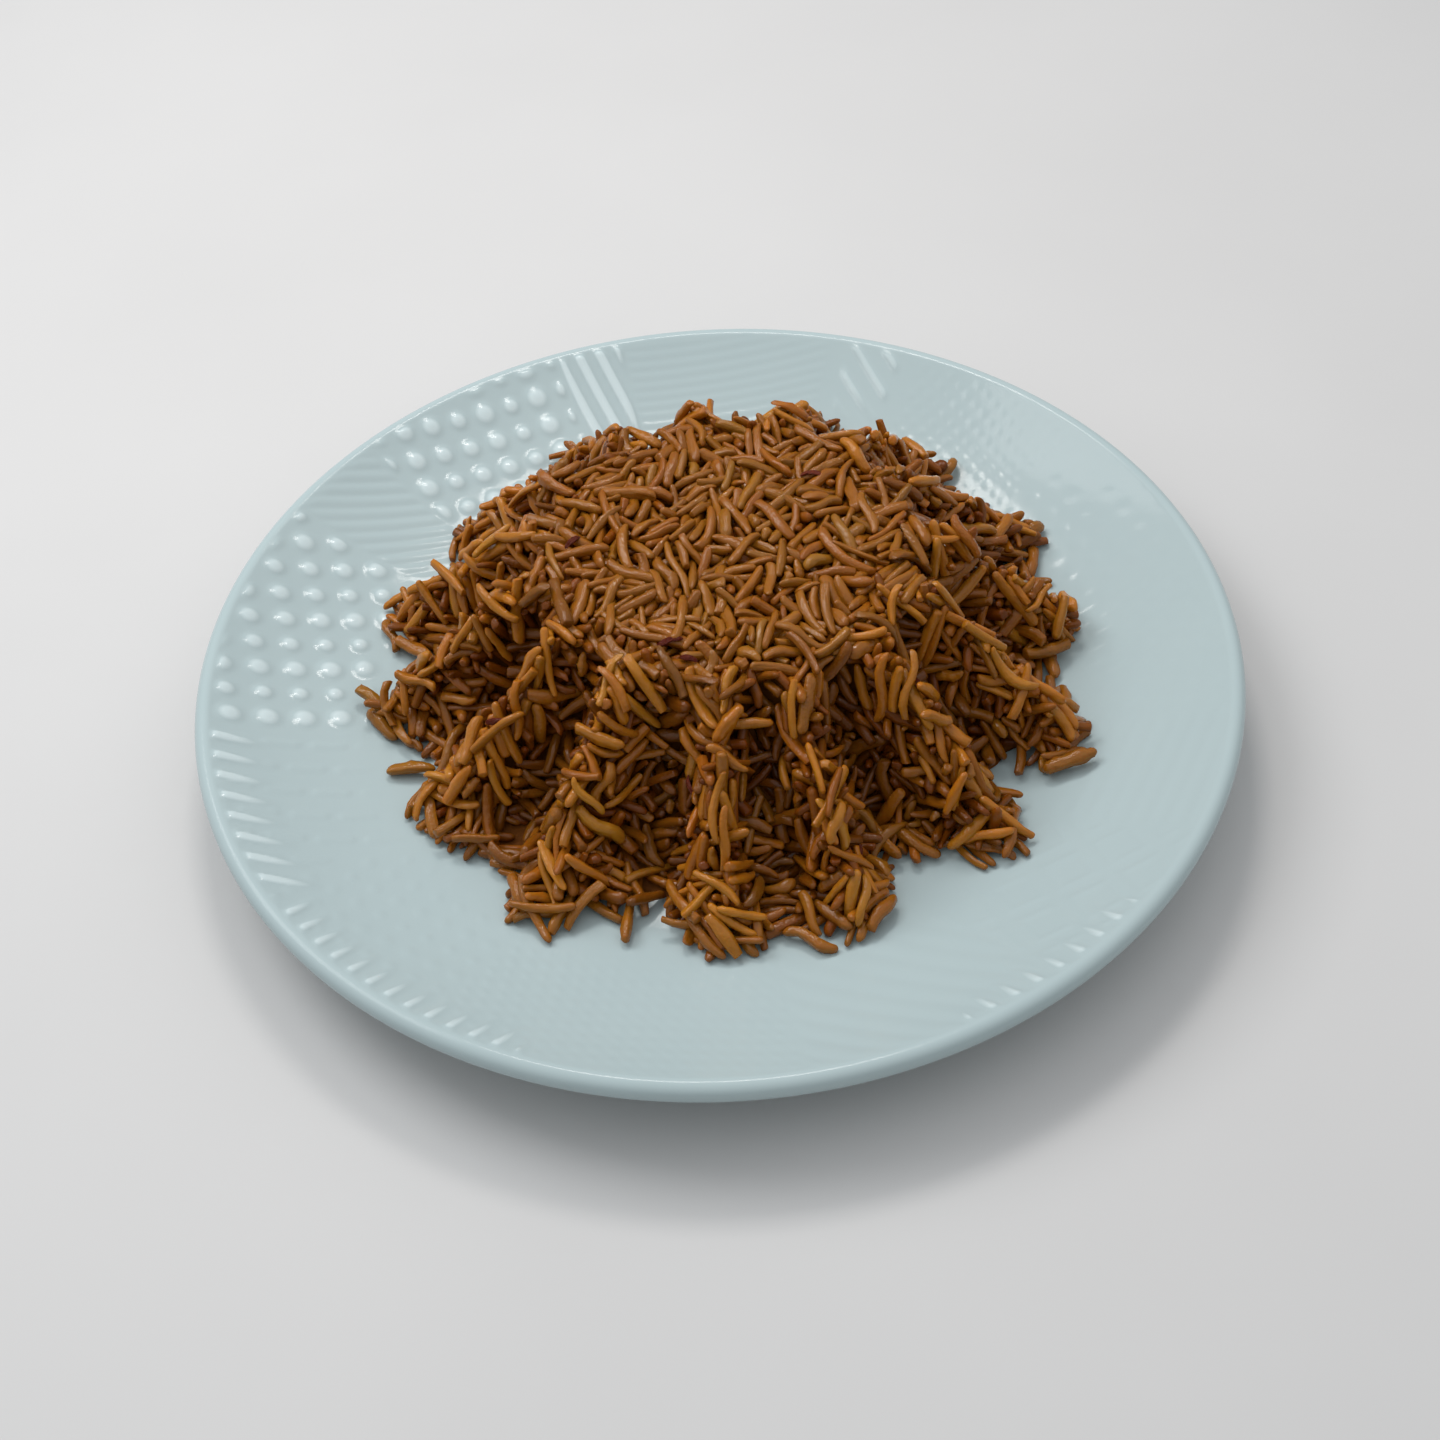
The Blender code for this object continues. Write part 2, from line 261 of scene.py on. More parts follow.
def dashes(along, across, pitch, length, width):
    """Short bars laid like bricks."""
    row = np.round(across / pitch[1])
    shifted = along / pitch[0] - 0.5 * (row % 2)
    beyond = np.maximum(0.0, np.abs(shifted - np.round(shifted)) * pitch[0] - length / 2.0)
    away = np.hypot(beyond, across - row * pitch[1])
    return np.clip(1.0 - (away / (width / 2.0)) ** 2, 0.0, 1.0) ** 1.5


def outlines(along, across, pitch, size, width):
    """The raised outline of a square in each cell."""
    u = np.abs(along - np.round(along / pitch) * pitch)
    v = np.abs(across - np.round(across / pitch) * pitch)
    away = np.abs(np.maximum(u, v) - size / 2.0)
    return np.clip(1.0 - (away / (width / 2.0)) ** 2, 0.0, 1.0) ** 1.5


# Bearings from and to, inner radius, heading in degrees, height in mm, motif and its sizes.
PATCHES = (
    (108.5, 137.0, 84.0, -67.0, 0.72, bumps, ((8.4, 8.0), 4.4)),
    (99.6, 108.5, 92.0, -64.0, 0.85, bars, (5.7, 3.9)),
    (71.5, 99.6, 84.0, 4.0, 0.09, bars, (2.9, 2.7)),
    (61.5, 69.5, 104.0, -66.0, 0.42, bars, (6.4, 3.2)),
    (35.0, 59.5, 84.0, 27.0, 0.08, bumps, ((3.8, 3.8), 1.85)),
    (11.0, 35.0, 88.0, 25.0, 0.10, bumps, ((7.0, 7.0), 3.1)),
    (-14.0, 11.0, 88.0, 20.0, 0.10, dashes, ((8.0, 4.4), 4.2, 2.6)),
    (-33.0, -14.0, 88.0, 60.0, 0.12, bars, (4.6, 4.0)),
    (-57.0, -33.0, 88.0, 18.0, 0.15, outlines, (13.0, 8.5, 2.6)),
    (-84.0, -57.0, 84.0, -26.0, 0.15, bars, (6.2, 5.6)),
    (-124.0, -84.0, 84.0, -8.0, 0.12, bumps, ((3.9, 3.9), 1.9)),
    (-150.0, -124.0, 84.0, -32.0, 0.14, bumps, ((6.4, 6.4), 2.6)),
    (-174.0, -150.0, 88.0, 8.0, 0.20, dashes, ((11.0, 8.0), 6.5, 3.2)),
    (186.0, 214.0, 113.0, 2.0, 0.75, bars, (6.6, 3.8)),
    (-146.0, -112.0, 116.0, 52.0, 0.74, bars, (5.6, 3.2)),
    (-68.0, -44.0, 116.0, -56.0, 0.66, bars, (6.2, 3.2)),
    (150.0, 186.0, 84.0, 12.0, 0.68, bumps, ((8.6, 8.2), 4.3)),
    (137.0, 150.0, 84.0, 16.0, 0.17, bars, (3.7, 3.4)),
)
# How many millimetres a patch takes to rise from its sides, from the well and from the lip.
SIDE_FADE = 1.6
WELL_FADE = 9.0
LIP_FADE = 1.4


def relief(x, y):
    """Height of the pressed relief over the plain glaze, in millimetres."""
    radius = np.hypot(x, y)
    bearing = np.degrees(np.arctan2(y, x))
    total = np.zeros_like(radius)
    for start, end, inner, heading, height, motif, sizes in PATCHES:
        middle, half = (start + end) / 2.0, (end - start) / 2.0
        beside = (bearing - middle + 180.0) % 360.0 - 180.0
        inside = (half - np.abs(beside)) * radius * math.pi / 180.0
        mask = np.clip(inside / SIDE_FADE, 0.0, 1.0)
        mask *= np.clip((radius - inner) / WELL_FADE, 0.0, 1.0)
        mask *= np.clip((WALL_END - radius) / LIP_FADE, 0.0, 1.0)
        turn = math.radians(heading)
        along = x * math.cos(turn) + y * math.sin(turn)
        across = y * math.cos(turn) - x * math.sin(turn)
        total = np.maximum(total, height * mask * motif(along, across, *sizes))
    return total


print("the relief has", len(PATCHES), "patches")

# %% Rings of the plate's section
WELL_RINGS = (12.0, 30.0, 48.0, 62.0, 72.0)
RELIEF_START = 76.0
RELIEF_STEP = 0.67
LIP_RINGS = 17
# The underside runs in from the lip to the foot ring, at these shares of the way out.
UNDERSIDE_START = 74.9
UNDERSIDE_SHARES = (0.86, 0.70, 0.54, 0.38, 0.22, 0.10, 0.03)
# A trace less than the full thickness keeps the underside inside the solid.
TRACE = 0.02
# The foot ring, and the hollow inside it that stays clear of the table.
HOLLOW_HEIGHT = 3.2
FOOT = (
    (75.2, 2.6), (74.5, 0.5), (74.1, 0.08), (73.6, 0.0), (70.2, 0.0), (69.6, 0.1),
    (69.0, 0.7), (68.2, 2.6), (67.4, HOLLOW_HEIGHT), (50.0, HOLLOW_HEIGHT), (25.0, HOLLOW_HEIGHT),
)


def plate_rings():
    """(radius, height, share of the relief) round the section, from the middle of the top."""
    rings = [(r, float(glaze(r)), 0.0) for r in WELL_RINGS]
    rings += [(r, float(glaze(r)), 1.0) for r in np.arange(RELIEF_START, WALL_END, RELIEF_STEP)]
    lip = np.linspace(LIP_START, LIP_END, LIP_RINGS)
    rings += [lip_point(degrees) + (0.0,) for degrees in lip]
    for share in UNDERSIDE_SHARES:
        radius = UNDERSIDE_START + (WALL_END - UNDERSIDE_START) * share
        rings.append((radius, float(glaze(radius)) - PLATE_THICKNESS + TRACE, 0.0))
    rings += [(r, z, 0.0) for r, z in FOOT]
    return rings


RINGS = plate_rings()
PLATE_STEPS = 840
print("the plate has", len(RINGS), "rings of", PLATE_STEPS, "points")


# %% Spin the section and press the relief into it
def turned_plate(material):
    turns = np.linspace(0.0, TURN, PLATE_STEPS, endpoint=False)
    table = np.array(RINGS)
    x = table[:, :1] * np.cos(turns)
    y = table[:, :1] * np.sin(turns)
    pressed = relief(x, y) * table[:, 2:]
    z = np.repeat(table[:, 1:2], PLATE_STEPS, axis=1) + pressed
    points = np.stack([x, y, z], axis=-1).reshape(-1, 3)
    ring, step = np.meshgrid(np.arange(len(RINGS) - 1), np.arange(PLATE_STEPS), indexing="ij")
    here = ring * PLATE_STEPS + step
    beside = ring * PLATE_STEPS + (step + 1) % PLATE_STEPS
    quads = np.stack([here, here + PLATE_STEPS, beside + PLATE_STEPS, beside], axis=-1)
    quads = quads.reshape(-1, 4)
    faces = np.concatenate([quads[:, [0, 1, 2]], quads[:, [0, 2, 3]]])
    caps = []
    for middle, first, flip in ((WELL_HEIGHT, 0, False), (HOLLOW_HEIGHT, len(RINGS) - 1, True)):
        points = np.concatenate([points, [[0.0, 0.0, middle]]])
        start = first * PLATE_STEPS
        around = np.arange(PLATE_STEPS)
        fan = np.stack([
            np.full(PLATE_STEPS, len(points) - 1), start + around,
            start + (around + 1) % PLATE_STEPS,
        ], axis=-1)
        caps.append(fan[:, ::-1] if flip else fan)
    faces = np.concatenate([faces] + caps)
    raised = np.concatenate([pressed.ravel(), [0.0, 0.0]])
    return mesh_piece("porcelain_plate", points, faces, material, {"raised": raised})


# %% [markdown]
# ### Glazed porcelain
#
# The glaze is clear, very smooth and pale blue-grey, like thin celadon. It is a little deeper in
# colour where it pools in the hollows of the relief. The crests of the higher relief are painted
# paler, where the glaze thins over them and as a painted highlight of the window. The surface of a
# fired glaze is never quite flat, so it has a slow ripple too small to see except in the shape of
# a reflection.

# %% The porcelain's finish
# Each colour of the glaze drifts between two tints; the crest colour is paler as a painted highlight.
POOLED_GLAZE = ((0.393, 0.484, 0.500, 1.0), (0.422, 0.513, 0.525, 1.0))
CREST_HIGHLIGHT_GLAZE = ((0.530, 0.628, 0.645, 1.0), (0.570, 0.668, 0.684, 1.0))
# The relief height in millimetres from which crests are painted paler as a painted highlight, and how
# fast it grows.
HIGHLIGHT_FROM, HIGHLIGHT_RISE = 0.22, 3.2


def porcelain_finish():
    material, wire, shader = new_finish("celadon_glaze", 0.12, IOR=1.5, Specular_IOR_Level=0.15)
    # Raised relief is painted paler towards its crests: a painted highlight, where the glaze also
    # thins.
    thin = ((painted(wire, "raised") - HIGHLIGHT_FROM) * HIGHLIGHT_RISE).clamp()
    cloud = noise(wire, 26.0, 3.0)
    feed(shader, "Base Color", thin.mix(cloud.mix(*POOLED_GLAZE), cloud.mix(*CREST_HIGHLIGHT_GLAZE)))
    feed(shader, "Roughness", noise(wire, 60.0, 2.0) * 0.05 + 0.095)
    ripple = {"Strength": 0.10, "Distance": 0.0004, "Height": noise(wire, 190.0, 2.0)}
    feed(shader, "Normal", wire.add("ShaderNodeBump", None, ripple))
    return material


plate_piece = turned_plate(porcelain_finish())
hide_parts("plate")

# %% [markdown]
# ## The mound of rice
#
# The mound is a heap of some three thousand grains. The mould pressed the crown flat and left
# ridges down the flanks, and the grains of the flanks have slumped and loosened since. Painting
# this on a lump never looks right, because the eye reads the dark gaps between the grains. So
# every grain is a real mesh. They are scattered over the mound's form, then pushed apart step by
# step until they touch like real grains, with the form of the mould as their outer wall.

# %% The mound's sizes, in millimetres
MOUND_X, MOUND_Y = 4.7, 8.4
MOUND_TOP = 51.5
TOP_RADIUS_CREST = 51.0
TOP_RADIUS_VALLEY = 45.2
TOP_SHIFT_BACK = 1.8
TOP_DOME = 1.2
EDGE_THICKNESS = 4.8
CREST_SHARPNESS = 1.35
RIDGE_SHARPNESS = 1.5
CREST_DROP_POWER = 1.15
VALLEY_DROP_POWER = 2.3
# The bearing of each ridge in degrees, its reach, and how far the valley after it lies behind.
FLUTES = np.array((
    (24, 89.0, 7.5), (48, 88.5, 7.5), (71, 89.5, 8.0), (95, 88.5, 7.5), (119, 89.5, 7.5),
    (142, 89.0, 7.5), (166, 91.0, 9.0), (188, 91.5, 8.5), (212, 90.5, 6.0), (237, 93.0, 10.5),
    (265, 91.5, 4.5), (285, 92.0, 15.0), (312, 91.5, 10.5), (336, 90.5, 9.0), (361, 88.0, 6.5),
))
FLUTE_RING = np.vstack([FLUTES, FLUTES[0] + (360.0, 0.0, 0.0)])


def flute_at(x, y):
    """(crest, top radius, base radius, distance from the mound's middle) at each place."""
    away_x, away_y = x - MOUND_X, y - MOUND_Y
    first = FLUTES[0, 0]
    bearing = first + (np.degrees(np.arctan2(away_y, away_x)) - first) % 360.0
    left = np.clip(np.searchsorted(FLUTE_RING[:, 0], bearing, "right") - 1, 0, len(FLUTES) - 1)
    span = FLUTE_RING[left + 1, 0] - FLUTE_RING[left, 0]
    share = (bearing - FLUTE_RING[left, 0]) / span
    crest = (0.5 + 0.5 * np.cos(TURN * share)) ** CREST_SHARPNESS
    reach = FLUTE_RING[left, 1] + (FLUTE_RING[left + 1, 1] - FLUTE_RING[left, 1]) * share
    top = TOP_RADIUS_VALLEY + (TOP_RADIUS_CREST - TOP_RADIUS_VALLEY) * crest
    distance = np.maximum(np.hypot(away_x, away_y), 1e-6)
    top = top + TOP_SHIFT_BACK * away_y / distance
    return crest, top, reach - FLUTE_RING[left, 2] * (1.0 - crest), distance


def mound(x, y):
    """Height of the mound's outer form, which goes on falling past its foot."""
    crest, top, base, distance = flute_at(x, y)
    share = np.clip((distance - top) / (base - top), 0.0, 1.0)
    on_crest = share ** CREST_DROP_POWER
    in_valley = 1.0 - (1.0 - share) ** VALLEY_DROP_POWER
    drop = in_valley + (on_crest - in_valley) * crest ** RIDGE_SHARPNESS
    base_x = MOUND_X + (x - MOUND_X) * base / distance
    base_y = MOUND_Y + (y - MOUND_Y) * base / distance
    foot = glaze(np.hypot(base_x, base_y)) + EDGE_THICKNESS
    flank = (MOUND_TOP - TOP_DOME) - (MOUND_TOP - TOP_DOME - foot) * drop
    crown = MOUND_TOP - TOP_DOME * (distance / top) ** 2
    beyond = np.maximum(0.0, distance - base)
    return np.where(distance <= top, crown, flank) - beyond * 1.1


print("the crown is", round(float(mound(5.0, 9.0)), 1), "mm over the table")

# %% Lumps and hollows that the turning-out left
# Waves across the heap, each with a length in millimetres, a heading and a phase.
LUMPS = np.stack([
    draw.uniform(9.0, 21.0, 16), draw.uniform(0.0, TURN, 16), draw.uniform(0.0, TURN, 16),
], axis=-1)
CROWN_LUMP, FLANK_LUMP, MOST_LUMP = 0.6, 1.6, 0.9
# How many millimetres down the flank the lumps take to grow from the crown's to the flank's.
LUMP_GROWTH = 8.0
# How much the grains have sunk in the valleys since the mould came off, mostly in their middles.
VALLEY_SINK = 2.2
SINK_POWER = 2.2
# Hollows in the crown: place, radius and depth.
HOLLOWS = ((-5.0, 26.0, 8.0, 1.6), (-6.0, -2.0, 7.0, 1.3), (14.0, 44.0, 7.0, 1.2))


def lumpy(x, y):
    """Height of the mound's form with its lumps, which stay a little under the mould's own form."""
    crest, top, _, distance = flute_at(x, y)
    waves = sum(
        np.cos((x * math.cos(heading) + y * math.sin(heading)) * TURN / length + phase)
        for length, heading, phase in LUMPS
    ) / math.sqrt(len(LUMPS) / 2.0)
    down = np.clip((distance - top) / LUMP_GROWTH, 0.0, 1.0)
    lump = np.minimum(waves * (CROWN_LUMP + (FLANK_LUMP - CROWN_LUMP) * down), MOST_LUMP)
    lump = lump - VALLEY_SINK * down * (1.0 - crest) ** SINK_POWER
    for hollow_x, hollow_y, radius, depth in HOLLOWS:
        away = ((x - hollow_x) ** 2 + (y - hollow_y) ** 2) / radius ** 2
        lump = lump - depth * np.exp(-away * 1.5)
    return mound(x, y) + lump


def outside(points):
    """(signed distance outside the lumpy form, outward direction) of each point."""
    x, y, z = points[..., 0], points[..., 1], points[..., 2]
    step = 0.7
    slope_x = (lumpy(x + step, y) - lumpy(x - step, y)) / (2.0 * step)
    slope_y = (lumpy(x, y + step) - lumpy(x, y - step)) / (2.0 * step)
    steep = np.sqrt(1.0 + slope_x ** 2 + slope_y ** 2)
    outward = np.stack([-slope_x, -slope_y, np.ones_like(slope_x)], axis=-1) / steep[..., None]
    return (z - lumpy(x, y)) / steep, outward


print(len(LUMPS), "waves lift the skin by", MOST_LUMP, "mm at most")

# %% [markdown]
# ### Scattering the grains
#
# Grains lie the way the mould and the spoon left them. On the crown they are pressed flat, and
# neighbours tend to lie alike. On a ridge most of them point downhill, and in a valley many lie
# across it. Round the foot a fringe of grains pokes out over the glaze. Each grain has its own
# length, thickness and bend.

# %% Places spread evenly by area
CROWN_PACKING = 1.22
TRIES_PER_GRAIN = 6


def spread(count, outer, seed):
    """Places on the mound, evenly spread by the area of its sloping surface."""
    pick = np.random.default_rng(seed)
    tries = count * TRIES_PER_GRAIN
    radius = outer * np.sqrt((np.arange(tries) + 0.5) / tries)
    bearing = np.arange(tries) * math.pi * (3.0 - math.sqrt(5.0)) + seed
    x = MOUND_X + radius * np.cos(bearing)
    y = MOUND_Y + radius * np.sin(bearing)
    _, outward = outside(np.stack([x, y, lumpy(x, y)], axis=-1))
    _, top, base, _ = flute_at(x, y)
    # The pressed crown is packed more tightly than the loose flanks.
    packed = np.where(radius < top - 1.0, CROWN_PACKING, 1.0)
    weight = (base - radius > 0.5) * packed / outward[:, 2]
    steps = np.cumsum(weight) / weight.sum() * count
    marks = np.searchsorted(steps, np.arange(count) + pick.uniform(0.1, 0.9, count))
    marks = np.clip(marks, 0, tries - 1)
    shift = pick.normal(0.0, 0.5, (count, 2))
    return x[marks] + shift[:, 0], y[marks] + shift[:, 1]


CROWN, RIDGE, VALLEY, UNDER, FRINGE, STRAY, BIT = range(7)
# The usual length and thickness of a grain in millimetres, each with its spread.
LENGTH = (13.3, 2.5)
THICKNESS = (2.68, 0.36)


class Grains:
    """Grains as arrays: middle, direction, the side to which each bends, sizes and place in the heap.

    slack is how far a grain may stand out of the mound's form, and depth how deep its middle lies.
    """

    def __init__(self, middle, along, outward, slack, depth, kind):
        count = len(middle)
        self.middle = middle
        self.along = along / np.linalg.norm(along, axis=1, keepdims=True)
        self.length = np.clip(draw.normal(*LENGTH, count), 8.0, 19.0)
        self.radius = np.clip(draw.normal(*THICKNESS, count), 1.8, 3.4) / 2.0
        self.sag = self.length * np.clip(np.abs(draw.normal(0.0, 0.075, count)), 0.0, 0.18)
        self.side = np.cross(self.along, outward + draw.normal(0.0, 0.6, (count, 3)))
        arched = draw.random(count) < 0.35
        self.side[arched] = outward[arched]
        self.slack = slack
        self.depth = depth
        self.kind = np.full(count, kind)
        self.pinned = np.zeros(count, bool)

    def joined(self, other):
        for name, values in vars(other).items():
            setattr(self, name, np.concatenate([getattr(self, name), values]))
        return self

    def kept(self, mask):
        for name, values in list(vars(self).items()):
            setattr(self, name, values[mask])
        return self


print("a grain is about", LENGTH[0], "mm long and", THICKNESS[0], "mm thick")

# %% Lay the skin, the layer under it and the fringe
# How wide the edge of the crown is in millimetres, and the share of its grains that lie along it.
EDGE_WIDTH, ALONG_EDGE = 9.0, 0.5
# The shares of the flank's grains that jut out of it and that only stand a little proud.
JUTTING, PROUD = 0.24, 0.14
# Grains of the flank that are nearer to a valley than this share of a crest count as its own.
VALLEY_BELOW = 0.42


def downhill_frame(outward):
    """(downhill, across) directions in the mound's surface."""
    outer = outward.copy()
    outer[:, 2] = 0.0
    flat = np.linalg.norm(outer, axis=1) < 0.08
    outer[flat] = (0.0, -1.0, 0.0)
    downhill = outer - outward * np.sum(outer * outward, axis=1, keepdims=True)
    downhill /= np.linalg.norm(downhill, axis=1, keepdims=True)
    return downhill, np.cross(outward, downhill)


def laid(x, y, depth, kind, seed):
    """Grains laid in the surface at some depth, each turned as its place asks."""
    pick = np.random.default_rng(seed)
    count = len(x)
    surface = np.stack([x, y, lumpy(x, y)], axis=-1)
    _, outward = outside(surface)
    downhill, across = downhill_frame(outward)
    crest, top, _, distance = flute_at(x, y)
    on_crown = distance < top - 1.5
    # On the crown the headings drift slowly from place to place.
    drift = 1.3 * np.sin(x * 0.11 + 1.0) + 1.1 * np.cos(y * 0.13 - x * 0.05) + 0.7
    turn = drift + pick.normal(0.0, 0.70, count)
    flat = np.stack([np.cos(turn), np.sin(turn), np.zeros(count)], axis=-1)
    # Near the edge of the crown many grains lie along the edge.
    bearing = np.arctan2(y - MOUND_Y, x - MOUND_X) + pick.normal(0.0, 0.3, count)
    along_edge = np.stack([-np.sin(bearing), np.cos(bearing), np.zeros(count)], axis=-1)
    at_edge = on_crown & (distance > top - EDGE_WIDTH) & (pick.random(count) < ALONG_EDGE)
    # On a ridge most grains point downhill, and in a valley half of them lie across it.
    turn = pick.normal(0.0, 0.42 + 0.40 * (1.0 - crest))
    crossing = pick.random(count) < 0.16 + 0.36 * (1.0 - crest)
    turn = np.where(crossing, pick.normal(math.pi / 2.0, 0.5, count), turn)
    sloping = downhill * np.cos(turn)[:, None] + across * np.sin(turn)[:, None]
    along = np.where(on_crown[:, None], flat, sloping)
    along = np.where(at_edge[:, None], along_edge, along)
    spread_out = pick.random(count)
    tilt = np.where(on_crown, pick.normal(0.0, 0.17, count), pick.normal(0.12, 0.38, count))
    jutting = ~on_crown & (spread_out < JUTTING)
    tilt = np.where(jutting, pick.uniform(0.5, 1.9, count), tilt)
    along = along + outward * tilt[:, None]
    slack = np.where(on_crown, pick.uniform(-0.6, 0.9, count), pick.uniform(-1.0, 1.2, count))
    proud = ~on_crown & ((spread_out > 1.0 - PROUD) | jutting)
    slack = np.where(proud, slack + pick.uniform(0.8, 3.2, count), slack)
    grains = Grains(surface - outward * depth[:, None], along, outward, slack, depth, kind)
    if kind == RIDGE:
        grains.kind[crest < VALLEY_BELOW] = VALLEY
        grains.kind[on_crown] = CROWN
    return grains


def fringe(count, seed):
    """Grains round the foot, lying on the glaze and poking out."""
    pick = np.random.default_rng(seed)
    bearing = TURN * (np.arange(count) + pick.uniform(0.0, 1.0, count)) / count
    base = flute_at(MOUND_X + 90.0 * np.cos(bearing), MOUND_Y + 90.0 * np.sin(bearing))[2]
    radius = base - pick.uniform(0.5, 10.0, count)
    x, y = MOUND_X + radius * np.cos(bearing), MOUND_Y + radius * np.sin(bearing)
    outwards = pick.random(count) < 0.5
    aside = np.where(outwards, pick.normal(0.0, 0.75, count), pick.uniform(0.6, 2.5, count))
    z = glaze(np.hypot(x, y)) + 1.6 + pick.uniform(0.0, 2.6, count)
    along = np.stack([
        np.cos(bearing + aside), np.sin(bearing + aside), pick.normal(0.02, 0.16, count),
    ], axis=-1)
    upward = np.tile((0.0, 0.0, 1.0), (count, 1))
    slack = pick.uniform(0.5, 3.2, count)
    middle = np.stack([x, y, z], axis=-1)
    # Fewer grains slid out at the foot of a valley.
    stays = (flute_at(x, y)[0] > 0.3) | (pick.random(count) < 0.35)
    grains = Grains(middle, along, upward, slack, np.full(count, 1.4), FRINGE)
    return grains.kept(stays)


# %% The few grains that lie farthest out
# Bearing and reach of the outer tip from the mound's middle, heading and slope in degrees.
STRAYS = (
    (183, 96.4, 140, 16), (199, 93.2, 181, 2), (213, 92.8, 209, 2), (234, 98.2, 236, 2),
    (251, 92.6, 262, -4), (259, 91.0, 238, -4), (270, 93.6, 296, -6), (281, 95.6, 335, -2),
    (311, 94.6, 332, -4), (333, 96.0, 13, 10),
)


def strays():
    table = np.radians(np.array(STRAYS, float)[:, [0, 2, 3]])
    reach = np.array(STRAYS, float)[:, 1]
    heading, slope = table[:, 1], table[:, 2]
    along = np.stack([
        np.cos(slope) * np.cos(heading), np.cos(slope) * np.sin(heading), np.sin(slope),
    ], axis=-1)
    tip = np.stack([
        MOUND_X + reach * np.cos(table[:, 0]), MOUND_Y + reach * np.sin(table[:, 0]),
        np.zeros(len(reach)),
    ], axis=-1)
    upward = np.tile((0.0, 0.0, 1.0), (len(reach), 1))
    grains = Grains(tip, along, upward, np.full(len(reach), 20.0), np.ones(len(reach)), STRAY)
    grains.length[:] = np.linspace(12.0, 14.0, len(reach))
    grains.middle = tip - along * grains.length[:, None] / 2.0
    flat = np.hypot(grains.middle[:, 0], grains.middle[:, 1])
    lift = np.abs(along[:, 2]) * grains.length / 2.0
    grains.middle[:, 2] = glaze(flat) + grains.radius + 0.5 + lift
    grains.pinned[:] = True
    return grains


print(len(STRAYS), "grains lie farthest out")

# %% Broken bits lie between the whole grains
def broken_bits(count, seed):
    """Short ends of broken grains, in the skin of the mound."""
    x, y = spread(count, 92.0, seed)
    bits = laid(x, y, draw.uniform(0.6, 1.6, count), BIT, seed + 1)
    bits.length = draw.uniform(3.6, 7.0, count)
    bits.sag *= 0.3
    return bits


# %% Put the heap together
SKIN_COUNT, UNDER_COUNT, FRINGE_COUNT, BIT_COUNT = 1680, 1300, 230, 90
heap_x, heap_y = spread(SKIN_COUNT, 93.0, 3)
heap = laid(heap_x, heap_y, draw.uniform(0.9, 2.6, len(heap_x)), RIDGE, 11)
under_x, under_y = spread(UNDER_COUNT, 90.0, 8)
heap.joined(laid(under_x, under_y, draw.uniform(3.8, 5.2, len(under_x)), UNDER, 12))
heap.joined(fringe(FRINGE_COUNT, 13)).joined(broken_bits(BIT_COUNT, 14)).joined(strays())
print("the heap starts with", len(heap.length), "grains")

# %% [markdown]
# ### Settling the heap
#
# A grain is treated as a short chain of balls along its bent middle line. Wherever balls of two
# grains overlap, each grain is moved and turned a little to part them. The outer form pushes
# grains in, their own depth draws them out, and the glaze holds them up. After 140 rounds most
# grains only touch, and the rest press into each other a little, as sticky grains do. A physics
# engine could do the same, but this stays in one short function and gives the same heap each time.

# %% Balls along each grain, and the pairs that come close
BALLS = 6
SHARES = np.linspace(-1.0, 1.0, BALLS)


def balls_of(grains):
    """(places, lever along the grain) of the balls of every grain."""
    lever = SHARES[None, :] * (grains.length[:, None] / 2.0 - grains.radius[:, None])
    sag = grains.sag[:, None] * (1.0 / 3.0 - SHARES[None, :] ** 2)
    places = (
        grains.middle[:, None, :]
        + grains.along[:, None, :] * lever[..., None]
        + grains.side[:, None, :] * sag[..., None]
    )
    return places, lever


def close_pairs(places, owner, reach):
    """Pairs of balls of different grains in the same or neighbouring cells of a grid."""
    cell = np.floor((places - places.min(axis=0)) / reach).astype(np.int64) + 1
    size = cell.max(axis=0) + 2
    key = (cell[:, 0] * size[1] + cell[:, 1]) * size[2] + cell[:, 2]
    order = np.argsort(key, kind="stable")
    ranked = key[order]
    found = []
    for step_x in (-1, 0, 1):
        for step_y in (-1, 0, 1):
            for step_z in (-1, 0, 1):
                jump = (step_x * size[1] + step_y) * size[2] + step_z
                if jump < 0:
                    continue
                start = np.searchsorted(ranked, key + jump, "left")
                stop = np.searchsorted(ranked, key + jump, "right")
                for place in range(int((stop - start).max())):
                    mine = np.nonzero(start + place < stop)[0]
                    other = order[start[mine] + place]
                    apart = owner[mine] != owner[other]
                    if jump == 0:
                        apart &= mine < other
                    found.append((mine[apart], other[apart]))
    mine = np.concatenate([pair[0] for pair in found])
    other = np.concatenate([pair[1] for pair in found])
    near = np.linalg.norm(places[mine] - places[other], axis=1) < reach
    return mine[near], other[near]


# %% Push the grains apart
# Balls whose middles are nearer than this are looked at, and looked up again every few rounds.
NEAR = 4.0
ROUNDS_PER_SEARCH = 4
# How much of its way the form pushes a ball back, and depth draws a grain out, in one round.
FORM_PUSH, DEPTH_PULL = 0.9, 0.12
# The gap that grains keep over the glaze.
GLAZE_GAP = 0.35
# A grain moves a little farther than it was pushed, but by no more than this in one round.
OVERSHOOT, MOST_MOVE, MOST_SWING = 1.2, 0.8, 0.12


def tidy(grains):
    """Keeps directions at unit length, and each bend square to its grain."""
    grains.along /= np.linalg.norm(grains.along, axis=1, keepdims=True)
    grains.side -= grains.along * np.sum(grains.side * grains.along, axis=1, keepdims=True)
    grains.side /= np.maximum(np.linalg.norm(grains.side, axis=1, keepdims=True), 1e-6)


